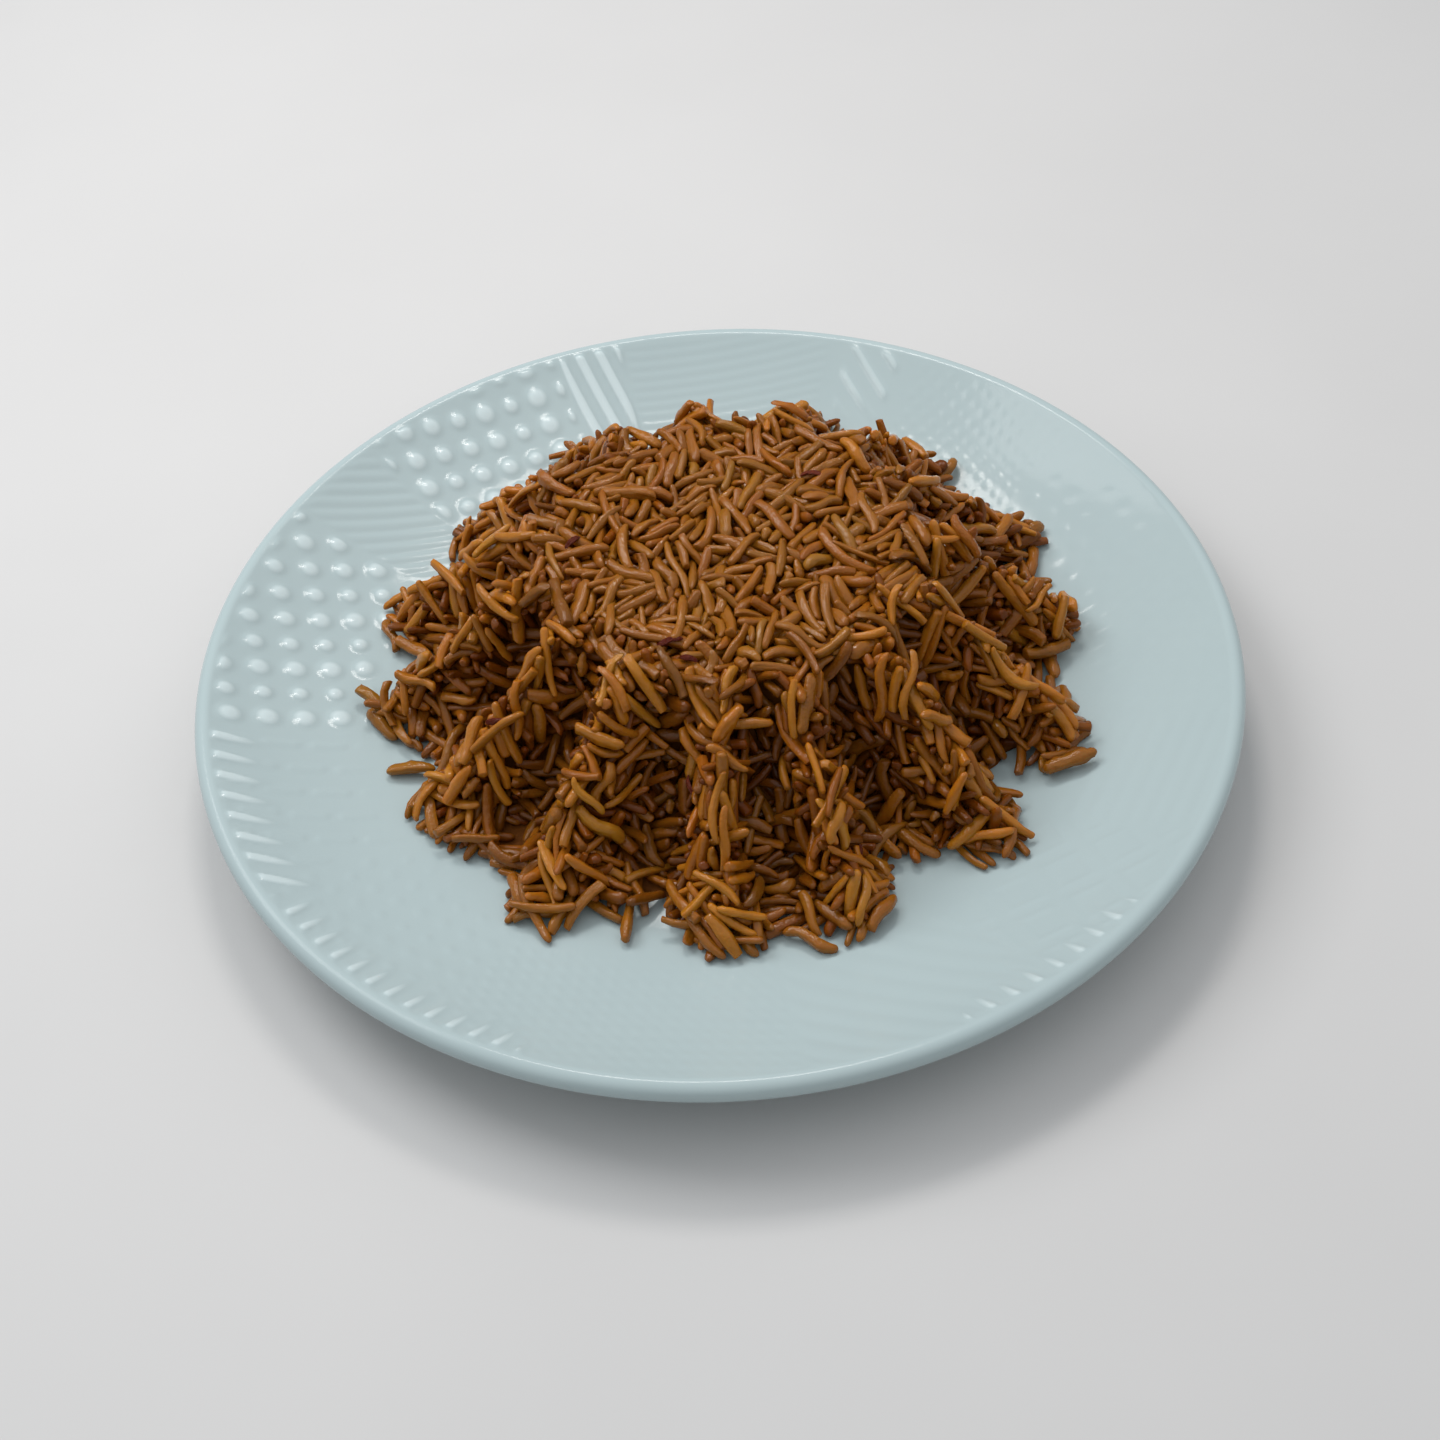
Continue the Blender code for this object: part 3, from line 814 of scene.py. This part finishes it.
def settle(grains, rounds):
    count = len(grains.length)
    owner = np.repeat(np.arange(count), BALLS)
    thick = np.repeat(grains.radius, BALLS)
    slack = np.repeat(grains.slack, BALLS)
    free = ~grains.pinned
    for turn in range(rounds):
        tidy(grains)
        places, lever = balls_of(grains)
        flat = places.reshape(-1, 3)
        if turn % ROUNDS_PER_SEARCH == 0:
            mine, other = close_pairs(flat, owner, NEAR)
        apart = flat[mine] - flat[other]
        distance = np.maximum(np.linalg.norm(apart, axis=1), 1e-6)
        deep = thick[mine] + thick[other] - distance
        hit = deep > 0.0
        shove = apart[hit] / distance[hit, None] * (0.5 * deep[hit])[:, None]
        push = np.zeros_like(flat)
        for axis in range(3):
            push[:, axis] += np.bincount(mine[hit], shove[:, axis], len(flat))
            push[:, axis] -= np.bincount(other[hit], shove[:, axis], len(flat))
        away, outward = outside(flat)
        beyond = np.maximum(0.0, away + thick - slack)
        push -= outward * (beyond * FORM_PUSH)[:, None]
        lowest = glaze(np.hypot(flat[:, 0], flat[:, 1])) + GLAZE_GAP + thick
        push[:, 2] += np.maximum(0.0, lowest - flat[:, 2])
        touched = (np.abs(push).sum(axis=1) > 1e-5).reshape(count, BALLS).sum(axis=1)
        push = push.reshape(count, BALLS, 3)
        move = push.sum(axis=1) / np.maximum(2.0, touched)[:, None]
        middle_away, middle_out = outside(grains.middle)
        sunk = np.clip(-middle_away - grains.depth, -0.5, 0.5)
        move += middle_out * (sunk * DEPTH_PULL)[:, None]
        arm = (lever ** 2).sum(axis=1)
        swing = (lever[..., None] * push).sum(axis=1) / arm[:, None]
        move = np.clip(move * OVERSHOOT, -MOST_MOVE, MOST_MOVE)
        grains.middle[free] += move[free]
        grains.along[free] += np.clip(swing, -MOST_SWING, MOST_SWING)[free]
    tidy(grains)
    return float(np.maximum(deep, 0.0).mean()), int((deep > 0.5).sum())


ROUNDS = 140
left_over, deep_pairs = settle(heap, ROUNDS)
print("mean overlap of close balls", round(left_over, 3), "mm;", deep_pairs, "pairs over 0.5 mm")

# %% Drop what was squeezed out of the heap
# Between these heights over the form, and this near to its middle, a grain still belongs to it.
DEEPEST, HIGHEST, FARTHEST = -8.0, 2.8, 97.0
above, _ = outside(heap.middle)
radial = np.hypot(heap.middle[:, 0] - MOUND_X, heap.middle[:, 1] - MOUND_Y)
sound = (above < HIGHEST) & (above > DEEPEST) & (radial < FARTHEST)
heap.kept(sound | heap.pinned)
print(len(heap.length), "grains stay, by kind", np.bincount(heap.kind).tolist())

# %% [markdown]
# ### The shape of a grain
#
# A cooked long grain is a bent rod, a little flattened, with shallow grooves along it. Its ends
# are rounded but uneven: one is usually fuller than the other, and a broken one is almost flat.
# A few grains have burst, and those are wider, with a split down the middle. All grains are made
# at once. A table of rings and sides is bent, capped and grooved for every grain by the same
# array sums, which takes a second where a loop over objects would take minutes.

# %% The section and the ends of a grain
# How far along its rounded end each ring of a grain lies, from the tip to the straight part.
CAP_SHARES = np.array((0.05, 0.24, 0.56, 1.0))
# The share of ends that are broken off almost flat, and how rounded such an end still is.
BROKEN_SHARE, BROKEN_CAP = 0.22, 0.20


def grain_rings(grains, inner_rings):
    """(place along the grain from -1 to 1, share of the full thickness) of every ring."""
    count = len(grains.length)
    half = grains.length[:, None] / 2.0
    places, bodies = [], []
    for end in (-1.0, 1.0):
        cap = draw.uniform(0.6, 1.8, (count, 1))
        broken = draw.random((count, 1)) < BROKEN_SHARE
        cap = np.where(broken, BROKEN_CAP, cap) * grains.radius[:, None]
        places.append(end * (1.0 - cap * CAP_SHARES / half))
        full = draw.uniform(0.72, 1.0, (count, 1))
        bodies.append(full * np.sqrt(1.0 - (1.0 - CAP_SHARES) ** 2) * np.ones((count, 1)))
    inner = (np.arange(inner_rings) + 1.0) / (inner_rings + 1.0)
    start, stop = places[0][:, -1:], places[1][:, -1:]
    middle = start + (stop - start) * inner
    beat, start_of = draw.uniform(3.0, 9.0, (count, 1)), draw.uniform(0.0, 6.0, (count, 1))
    swell = 1.0 + 0.09 * np.sin(inner * beat + start_of)
    ends = bodies[0][:, -1:] + (bodies[1][:, -1:] - bodies[0][:, -1:]) * inner
    body = (ends + (1.0 - ends) * (4.0 * inner * (1.0 - inner)) ** 0.8) * swell
    place = np.concatenate([places[0], middle, places[1][:, ::-1]], axis=1)
    return place, np.concatenate([bodies[0], body, bodies[1][:, ::-1]], axis=1)


# %% Grains as one mesh
# Shares of a grain's thickness: its three ribs, its uneven sides and its rough surface.
RIBS, UNEVEN, ROUGH = 0.060, 0.105, 0.060
# The side-to-side wave of a grain, as a share of its length.
WAVE = 0.034
# How much a noise is drawn out along a grain, so that it makes streaks.
STREAK = 0.06
# Grains whose middle lies this deep begin to get the painted shade of the deep heap, fully over the
# next millimetres.
DEPTH_SHADE_FROM, DEPTH_SHADE_OVER = 2.6, 7.0


def grain_mesh(grains, sides, inner_rings, split=False, flatness=(0.78, 0.98)):
    """(points, faces, numbers) of every grain in the group."""
    count = len(grains.length)
    place, body = grain_rings(grains, inner_rings)
    rings = place.shape[1]
    place, body = place[..., None], body[..., None]
    around = (np.arange(sides) * TURN / sides)[None, None, :]
    phase = draw.uniform(0.0, TURN, (count, 1, 1))
    twist = draw.normal(0.0, 0.35, (count, 1, 1)) * place
    groove = 1.0 + RIBS * np.cos(3.0 * (around + twist) + phase)
    groove = groove + draw.normal(0.0, UNEVEN, (count, 1, sides)).clip(-0.2, 0.2)
    crease = draw.uniform(-0.20, 0.34, (count, 1, 1)).clip(0.0)
    groove = groove * (1.0 - crease * np.exp(-((np.sin((around + phase) / 2.0)) ** 2) * 14.0))
    rough = 1.0 + draw.normal(0.0, ROUGH, (count, rings, sides))
    if split:
        opened = np.clip(0.45 + 0.8 * place * np.sign(np.sin(phase)), 0.0, 1.0)
        groove = groove * (1.0 + 0.26 * opened)
        groove = groove * (1.0 - 0.50 * opened * np.exp(-((np.sin(around / 2.0)) ** 2) * 12.0))
    radius = grains.radius[:, None, None] * body * groove * rough
    flat = draw.uniform(*flatness, (count, 1, 1))
    binormal = np.cross(grains.along, grains.side)
    wide = (radius * np.cos(around))[..., None] * binormal[:, None, None, :]
    thin = (radius * flat * np.sin(around))[..., None] * grains.side[:, None, None, :]
    half = grains.length[:, None, None] / 2.0
    sag = grains.sag[:, None, None] * (1.0 / 3.0 - place ** 2)
    wave = draw.normal(0.0, WAVE, (count, 1, 1)) * 2.0 * half * np.sin(place * math.pi)
    line = (
        grains.middle[:, None, None, :]
        + grains.along[:, None, None, :] * (place * half)[..., None]
        + grains.side[:, None, None, :] * sag[..., None]
        + binormal[:, None, None, :] * wave[..., None]
    )
    shell = (line + wide + thin).reshape(count, -1, 3)
    tips = []
    for end in (-1.0, 1.0):
        tip = grains.middle + grains.along * (end * grains.length / 2.0)[:, None]
        tips.append((tip - grains.side * (grains.sag * 2.0 / 3.0)[:, None])[:, None, :])
    points = np.concatenate([shell] + tips, axis=1)
    faces = grain_faces(rings, sides, points.shape[1], count)
    numbers = grain_numbers(place[:, :, 0], sides, count)
    numbers["lay"] = streak_places(grains, place, around)
    # How deep a grain lies under the mound's form sets its painted shade.
    below = mound(*grains.middle[:, :2].T) - grains.middle[:, 2]
    sunk = np.clip((below - DEPTH_SHADE_FROM) / DEPTH_SHADE_OVER, 0.0, 1.0)
    numbers["sunk"] = np.repeat(sunk, points.shape[1])
    return points.reshape(-1, 3), faces, numbers


def streak_places(grains, place, around):
    """Where each point lies in a space that is short along its grain, so that noise makes streaks."""
    count = len(grains.length)
    start = draw.uniform(0.0, 90.0, (count, 1, 3))
    run = place * grains.length[:, None, None] * STREAK + 0.0 * around
    ring = [np.cos(around) + 0.0 * run, np.sin(around) + 0.0 * run, run]
    shell = np.stack(ring, axis=-1).reshape(count, -1, 3)
    tips = np.zeros((count, 2, 3))
    tips[:, 0, 2], tips[:, 1, 2] = -grains.length * STREAK, grains.length * STREAK
    return (np.concatenate([shell, tips], axis=1) + start).reshape(-1, 3)


def grain_faces(rings, sides, total, count):
    """Triangles between the rings and over both tips, for every grain."""
    faces = []
    last = (rings - 1) * sides
    for j in range(sides):
        k = (j + 1) % sides
        for i in range(0, last, sides):
            faces += [(i + j, i + k, i + k + sides), (i + j, i + k + sides, i + j + sides)]
        faces += [(total - 2, k, j), (total - 1, last + j, last + k)]
    faces = np.array(faces)[None] + (np.arange(count) * total)[:, None, None]
    return faces.reshape(-1, 3)


def grain_numbers(place, sides, count):
    """What each point carries for the finish: its grain's tone and warmth, and how near a tip is."""
    total = place.shape[1] * sides + 2
    near_tip = np.concatenate([np.repeat(np.abs(place), sides, axis=1), np.ones((count, 2))], axis=1)
    return {
        "tone": np.repeat(np.clip(draw.normal(0.5, 0.15, count), 0.0, 1.0), total),
        "warmth": np.repeat(np.clip(draw.normal(0.5, 0.22, count), 0.0, 1.0), total),
        "tip": near_tip.ravel() ** 6,
    }


# %% [markdown]
# ### The finish of the rice
#
# The rice was cooked in stock coloured by deeply browned onions, so it runs from caramel to
# chestnut, each grain a little different. The starch lets some light in, and oil and stock leave
# it moist and shiny. Shallow creases break the shine into short glints. Grains on the ridges are
# painted lighter as painted light, and grains in the valleys and deep in the heap are painted
# darker and redder as painted shade.

# %% A finish for each kind of grain
WHITE = (1.0, 1.0, 1.0, 1.0)
COOL_TINT, WARM_TINT = (0.94, 1.05, 1.10, 1.0), (1.06, 0.95, 0.86, 1.0)
# The tint of the painted shade that darkens and reddens grains deep in the heap.
DEPTH_SHADE_TINT = (0.60, 0.48, 0.38, 1.0)


def rice_finish(name, browns, gloss, roughness, creased):
    """Grains that run through three browns, dark to light, wet and creased along their length."""
    material, wire, shader = new_finish(
        name, roughness, IOR=1.42, Specular_IOR_Level=gloss,
        Subsurface_Weight=0.30, Subsurface_Scale=0.0012, Subsurface_Radius=(1.0, 0.36, 0.10),
    )
    dark, middle, light = browns
    streaks = noise(wire, 1.3, 3.0, 0.6, at=painted(wire, "lay", 1))
    mottle = noise(wire, 380.0, 3.0)
    tone = painted(wire, "tone") * 0.66 + mottle * 0.36 + streaks * 0.30
    tone = (tone - painted(wire, "tip") * 0.08 - 0.17).clamp()
    stops = {"stops": ((0.08, dark), (0.48, middle), (0.94, light))}
    ramp = wire.add("ShaderNodeValToRGB", stops, {"Fac": tone})
    warm = painted(wire, "warmth").mix(COOL_TINT, WARM_TINT)
    # Grains deep in the heap are tinted darker and redder: painted shade.
    depth_shade = painted(wire, "sunk").mix(WHITE, DEPTH_SHADE_TINT)
    feed(shader, "Base Color", ramp.tinted(warm).tinted(depth_shade))
    feed(shader, "Roughness", (noise(wire, 500.0, 2.0) * 0.24 + (roughness - 0.12)).clamp())
    wrinkles = streaks + noise(wire, 1100.0, 2.0, 0.6) * 0.75
    bump = {"Strength": creased, "Distance": 0.001, "Height": wrinkles}
    feed(shader, "Normal", wire.add("ShaderNodeBump", None, bump))
    return material


# The ridges' grains get lighter browns as painted light, and the valleys' grains darker browns as
# painted shade.
CARAMEL = ((0.222, 0.070, 0.005, 1.0), (0.275, 0.095, 0.007, 1.0), (0.325, 0.132, 0.011, 1.0))
RIDGE_LIT_BROWNS = ((0.245, 0.077, 0.006, 1.0), (0.400, 0.141, 0.009, 1.0), (0.500, 0.212, 0.017, 1.0))
VALLEY_SHADE_BROWNS = ((0.120, 0.034, 0.003, 1.0), (0.210, 0.068, 0.005, 1.0), (0.305, 0.118, 0.010, 1.0))
# The inner grains, seen only in the gaps, get darker and redder browns as painted shade.
INNER_SHADE_BROWNS = ((0.165, 0.045, 0.003, 1.0), (0.255, 0.079, 0.006, 1.0), (0.330, 0.115, 0.010, 1.0))
crown_finish = rice_finish("rice_pressed_moist", CARAMEL, gloss=0.42, roughness=0.13, creased=0.28)
ridge_finish = rice_finish("rice_ridge_painted_light", RIDGE_LIT_BROWNS, gloss=0.42, roughness=0.13, creased=0.28)
valley_finish = rice_finish("rice_valley_painted_shade", VALLEY_SHADE_BROWNS, gloss=0.38, roughness=0.13, creased=0.28)
fringe_finish = rice_finish("rice_fringe_moist", CARAMEL, gloss=0.42, roughness=0.13, creased=0.28)
under_finish = rice_finish("rice_inner_painted_shade", INNER_SHADE_BROWNS, gloss=0.28, roughness=0.18, creased=0.28)
split_finish = rice_finish("rice_burst_starch", CARAMEL, gloss=0.44, roughness=0.16, creased=0.40)
print("finishes so far:", [material.name for material in bpy.data.materials])


# %% Build the grains, kind by kind
# The least gaps over the glaze and under the top of the solids' box.
LOWEST_GAP, BOX_GAP = 0.1, 0.05


def keep_inside(points):
    """Keeps points over the glaze and under the top of the solids' box."""
    x, y = points[:, 0], points[:, 1]
    low = glaze(np.hypot(x, y)) + relief(x, y) + LOWEST_GAP
    points[:, 2] = np.clip(points[:, 2], low, solid_box[1][2] / MM - BOX_GAP)


def group(mask):
    """The grains of the heap that a mask picks."""
    part = object.__new__(Grains)
    for name, values in vars(heap).items():
        setattr(part, name, values[mask].copy())
    return part


BURST_SHARE = 0.07
burst = draw.random(len(heap.length)) < BURST_SHARE
burst &= (heap.kind != UNDER) & (heap.kind != BIT)
rice_pieces = []
for name, kind, finish, sides, inner_rings in (
    ("rice_crown_grains", CROWN, crown_finish, 10, 4),
    ("rice_ridge_grains", RIDGE, ridge_finish, 9, 4),
    ("rice_valley_grains", VALLEY, valley_finish, 9, 4),
    ("rice_inner_grains", UNDER, under_finish, 7, 2),
    ("rice_fringe_grains", FRINGE, fringe_finish, 10, 4),
    ("rice_stray_grains", STRAY, crown_finish, 12, 5),
    ("rice_broken_bits", BIT, crown_finish, 9, 2),
    ("rice_burst_grains", None, split_finish, 12, 4),
):
    mask = burst if kind is None else (heap.kind == kind) & ~burst
    points, faces, numbers = grain_mesh(group(mask), sides, inner_rings, kind is None)
    keep_inside(points)
    rice_pieces.append(mesh_piece(name, points, faces, finish, numbers))


# %% [markdown]
# ### Scraps of browned onion
#
# A few scraps of the onions that coloured the rice are left in it: thin, curled, dark red strips.
# A strip is a grain that is long, very flat and bent over the grains under it, so the same
# functions make it.

# %% Lay the onion scraps
# Place in millimetres, heading in degrees, length and width.
SCRAPS = (
    (-10.6, -24.0, 8.0, 6.5, 1.7), (-6.4, -29.2, -30.0, 4.6, 1.5), (12.8, -55.0, 20.0, 6.5, 1.6),
    (-8.2, -49.6, 75.0, 6.5, 1.8), (-33.0, 12.0, 40.0, 5.0, 1.6), (27.0, 31.0, -15.0, 6.0, 1.6),
    (46.0, -34.0, 60.0, 6.5, 1.8), (-52.0, -30.0, 10.0, 7.0, 1.8), (30.0, -62.0, 110.0, 6.0, 1.7),
    (-30.0, 58.0, -40.0, 6.0, 1.8), (62.0, 40.0, 80.0, 6.5, 1.8),
)


def onion_scraps():
    table = np.array(SCRAPS)
    x, y, heading = table[:, 0], table[:, 1], np.radians(table[:, 2])
    surface = np.stack([x, y, lumpy(x, y) + 0.5], axis=-1)
    _, outward = outside(surface)
    along = np.stack([np.cos(heading), np.sin(heading), np.zeros(len(x))], axis=-1)
    along = along - outward * np.sum(along * outward, axis=1, keepdims=True)
    scraps = Grains(surface, along, outward, np.zeros(len(x)), np.zeros(len(x)), BIT)
    scraps.side = outward.copy()
    scraps.length, scraps.radius = table[:, 3], table[:, 4] / 2.0
    scraps.sag = scraps.length * 0.16
    tidy(scraps)
    return grain_mesh(scraps, 10, 6, flatness=(0.26, 0.36))


ONION = ((0.050, 0.007, 0.004, 1.0), (0.100, 0.015, 0.007, 1.0), (0.170, 0.036, 0.018, 1.0))
onion_finish = rice_finish("browned_onion", ONION, gloss=0.15, roughness=0.26, creased=0.9)
points, faces, numbers = onion_scraps()
keep_inside(points)
rice_pieces.append(mesh_piece("onion_scraps", points, faces, onion_finish, numbers))

# %% [markdown]
# ### The inside of the heap
#
# Between the grains you look into the heap, where everything is brown and in deep shade. A plain
# core closes the heap a few millimetres under its skin, so that no gap shows the plate through it,
# and its dark browns are painted shade.

# %% The core under the grains
CORE_DEPTH = 5.2
CORE_STEPS = 240
CORE_SHARES = np.concatenate([np.linspace(0.08, 0.96, 16), [1.0, 1.0]])
CORE_BOTTOM = 0.3


def packed_core(material, depth):
    around = np.linspace(0.0, TURN, CORE_STEPS, endpoint=False)
    far_x, far_y = MOUND_X + 90.0 * np.cos(around), MOUND_Y + 90.0 * np.sin(around)
    base = flute_at(far_x, far_y)[2] - depth
    points = []
    for i, share in enumerate(CORE_SHARES):
        x = MOUND_X + base * share * np.cos(around)
        y = MOUND_Y + base * share * np.sin(around)
        surface = np.stack([x, y, lumpy(x, y)], axis=-1)
        _, outward = outside(surface)
        ring = surface - outward * (depth + draw.normal(0.0, 0.35, (len(around), 1)))
        bottom = glaze(np.hypot(x, y)) + CORE_BOTTOM
        last = i == len(CORE_SHARES) - 1
        ring[:, 2] = bottom if last else np.maximum(ring[:, 2], bottom + 0.1)
        points.append(ring)
    for middle in (MOUND_TOP - depth, WELL_HEIGHT + CORE_BOTTOM):
        points.append([[MOUND_X, MOUND_Y, middle]])
    points = np.concatenate(points)
    steps, rings = CORE_STEPS, len(CORE_SHARES)
    faces = []
    for j in range(steps):
        k = (j + 1) % steps
        faces.append((rings * steps, j, k))
        faces.append((rings * steps + 1, (rings - 1) * steps + k, (rings - 1) * steps + j))
        for i in range(rings - 1):
            a, b = i * steps + j, i * steps + k
            faces += [(a, a + steps, b + steps), (a, b + steps, b)]
    return mesh_piece("rice_packed_core", points, np.array(faces), material)


# Dark browns for the core: painted shade of the inside of the heap.
PACKED_SHADE_BROWNS = ((0.080, 0.023, 0.003, 1.0), (0.200, 0.062, 0.007, 1.0))


def core_finish():
    material, wire, shader = new_finish("rice_core_painted_shade", 0.7, Specular_IOR_Level=0.1)
    feed(shader, "Base Color", noise(wire, 300.0, 3.0).mix(*PACKED_SHADE_BROWNS))
    bump = {"Strength": 0.8, "Distance": 0.001, "Height": noise(wire, 380.0, 3.0)}
    feed(shader, "Normal", wire.add("ShaderNodeBump", None, bump))
    return material


rice_pieces.append(packed_core(core_finish(), CORE_DEPTH))

# %% The rice stands for the mound's solid
for piece in rice_pieces:
    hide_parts("rice")

# %% [markdown]
# ## Floor, light and camera
#
# The dish stands on a plain pale floor. A small window light high behind it gives the highlights
# on the lip, the buttons and the moist grains. A broad soft light from the back left fills the
# crown, and a pale surround keeps the shadows open. The camera looks down from the front,
# slightly tilted.

# %% The floor
# Half the floor's width in metres, its corners, and the greys that it drifts between.
FLOOR_HALF = 3.0
CORNERS = ((-1.0, -1.0), (1.0, -1.0), (1.0, 1.0), (-1.0, 1.0))
FLOOR_GREYS = ((0.55, 0.55, 0.55, 1.0), (0.605, 0.605, 0.605, 1.0))


def floor_finish():
    material, wire, shader = new_finish("pale_floor", 0.65)
    feed(shader, "Base Color", noise(wire, 7.0, 4.0).mix(*FLOOR_GREYS))
    return material


floor_mesh = bpy.data.meshes.new("floor")
floor_points = [(x * FLOOR_HALF, y * FLOOR_HALF, 0.0) for x, y in CORNERS]
floor_mesh.from_pydata(floor_points, [], [(0, 1, 2, 3)])
floor = bpy.data.objects.new("floor", floor_mesh)
floor_mesh.materials.append(floor_finish())
scene.collection.objects.link(floor)
print("the floor is", 2.0 * FLOOR_HALF, "m wide")


# %% The lights
def soft_light(name, azimuth, elevation, distance, width, height, watts, colour):
    """An area light aimed at the dish, in metres. Azimuth 0 is behind it, positive to the right."""
    data = bpy.data.lights.new(name, "AREA")
    data.shape = "RECTANGLE"
    data.size, data.size_y = width, height
    data.energy = watts
    data.color = colour
    light = bpy.data.objects.new(name, data)
    side, up = math.radians(azimuth), math.radians(elevation)
    aim = Vector((math.sin(side) * math.cos(up), math.cos(side) * math.cos(up), math.sin(up)))
    light.location = aim * distance + Vector((0.0, 0.0, 0.02))
    light.rotation_euler = aim.to_track_quat("Z", "Y").to_euler()
    scene.collection.objects.link(light)


soft_light("window", -3.0, 60.0, 0.8, 0.21, 0.14, 1.8, (1.0, 0.95, 0.91))
soft_light("skylight", -60.0, 52.0, 0.9, 0.45, 0.45, 3.2, (1.0, 1.0, 1.0))


# %% A room that is bright overhead and to both sides
def room():
    """The world's light by direction: dim low in front and behind, brighter up and sideways."""
    world = bpy.data.worlds.new("pale_room")
    world.use_nodes = True
    wire = Wire(world.node_tree)
    facing = {0: wire.add("ShaderNodeTexCoord", out=0)}
    height = wire.add("ShaderNodeSeparateXYZ", None, facing, out=2).clamp()
    sideways = wire.add("ShaderNodeSeparateXYZ", None, facing, out=0)
    strength = (height.power(1.6) * 0.86 + sideways * sideways * 0.36 + 0.125).clamp(0.03, 2.0)
    background = world.node_tree.nodes["Background"]
    background.inputs["Color"].default_value = (0.97, 0.985, 1.0, 1.0)
    wire.tree.links.new(strength.socket, background.inputs["Strength"])
    return world


scene.world = room()
scene.view_settings.view_transform = "Standard"
print("the surround is", scene.world.name)

# %% The camera
CAMERA_TARGET = Vector((-0.000157, -0.023305, 0.022))
CAMERA_DISTANCE = 0.500
CAMERA_ELEVATION = math.radians(47.766)
CAMERA_ROLL = math.radians(-4.0585)
FRAME_PIXELS = 1440.0
FOCAL_PIXELS = 2058.08

back = Vector((0.0, -math.cos(CAMERA_ELEVATION), math.sin(CAMERA_ELEVATION)))
level = Vector((1.0, 0.0, 0.0))
upright = back.cross(level)
right = level * math.cos(CAMERA_ROLL) + upright * math.sin(CAMERA_ROLL)
above_view = upright * math.cos(CAMERA_ROLL) - level * math.sin(CAMERA_ROLL)
lens = bpy.data.cameras.new("camera")
lens.sensor_width = 36.0
lens.sensor_fit = "HORIZONTAL"
lens.lens = 36.0 * FOCAL_PIXELS / FRAME_PIXELS
camera = bpy.data.objects.new("camera", lens)
turned = Matrix((right, above_view, back)).transposed().to_4x4()
camera.matrix_world = Matrix.Translation(CAMERA_TARGET + back * CAMERA_DISTANCE) @ turned
scene.collection.objects.link(camera)
scene.camera = camera
print("the camera's lens is", round(lens.lens, 2), "mm")
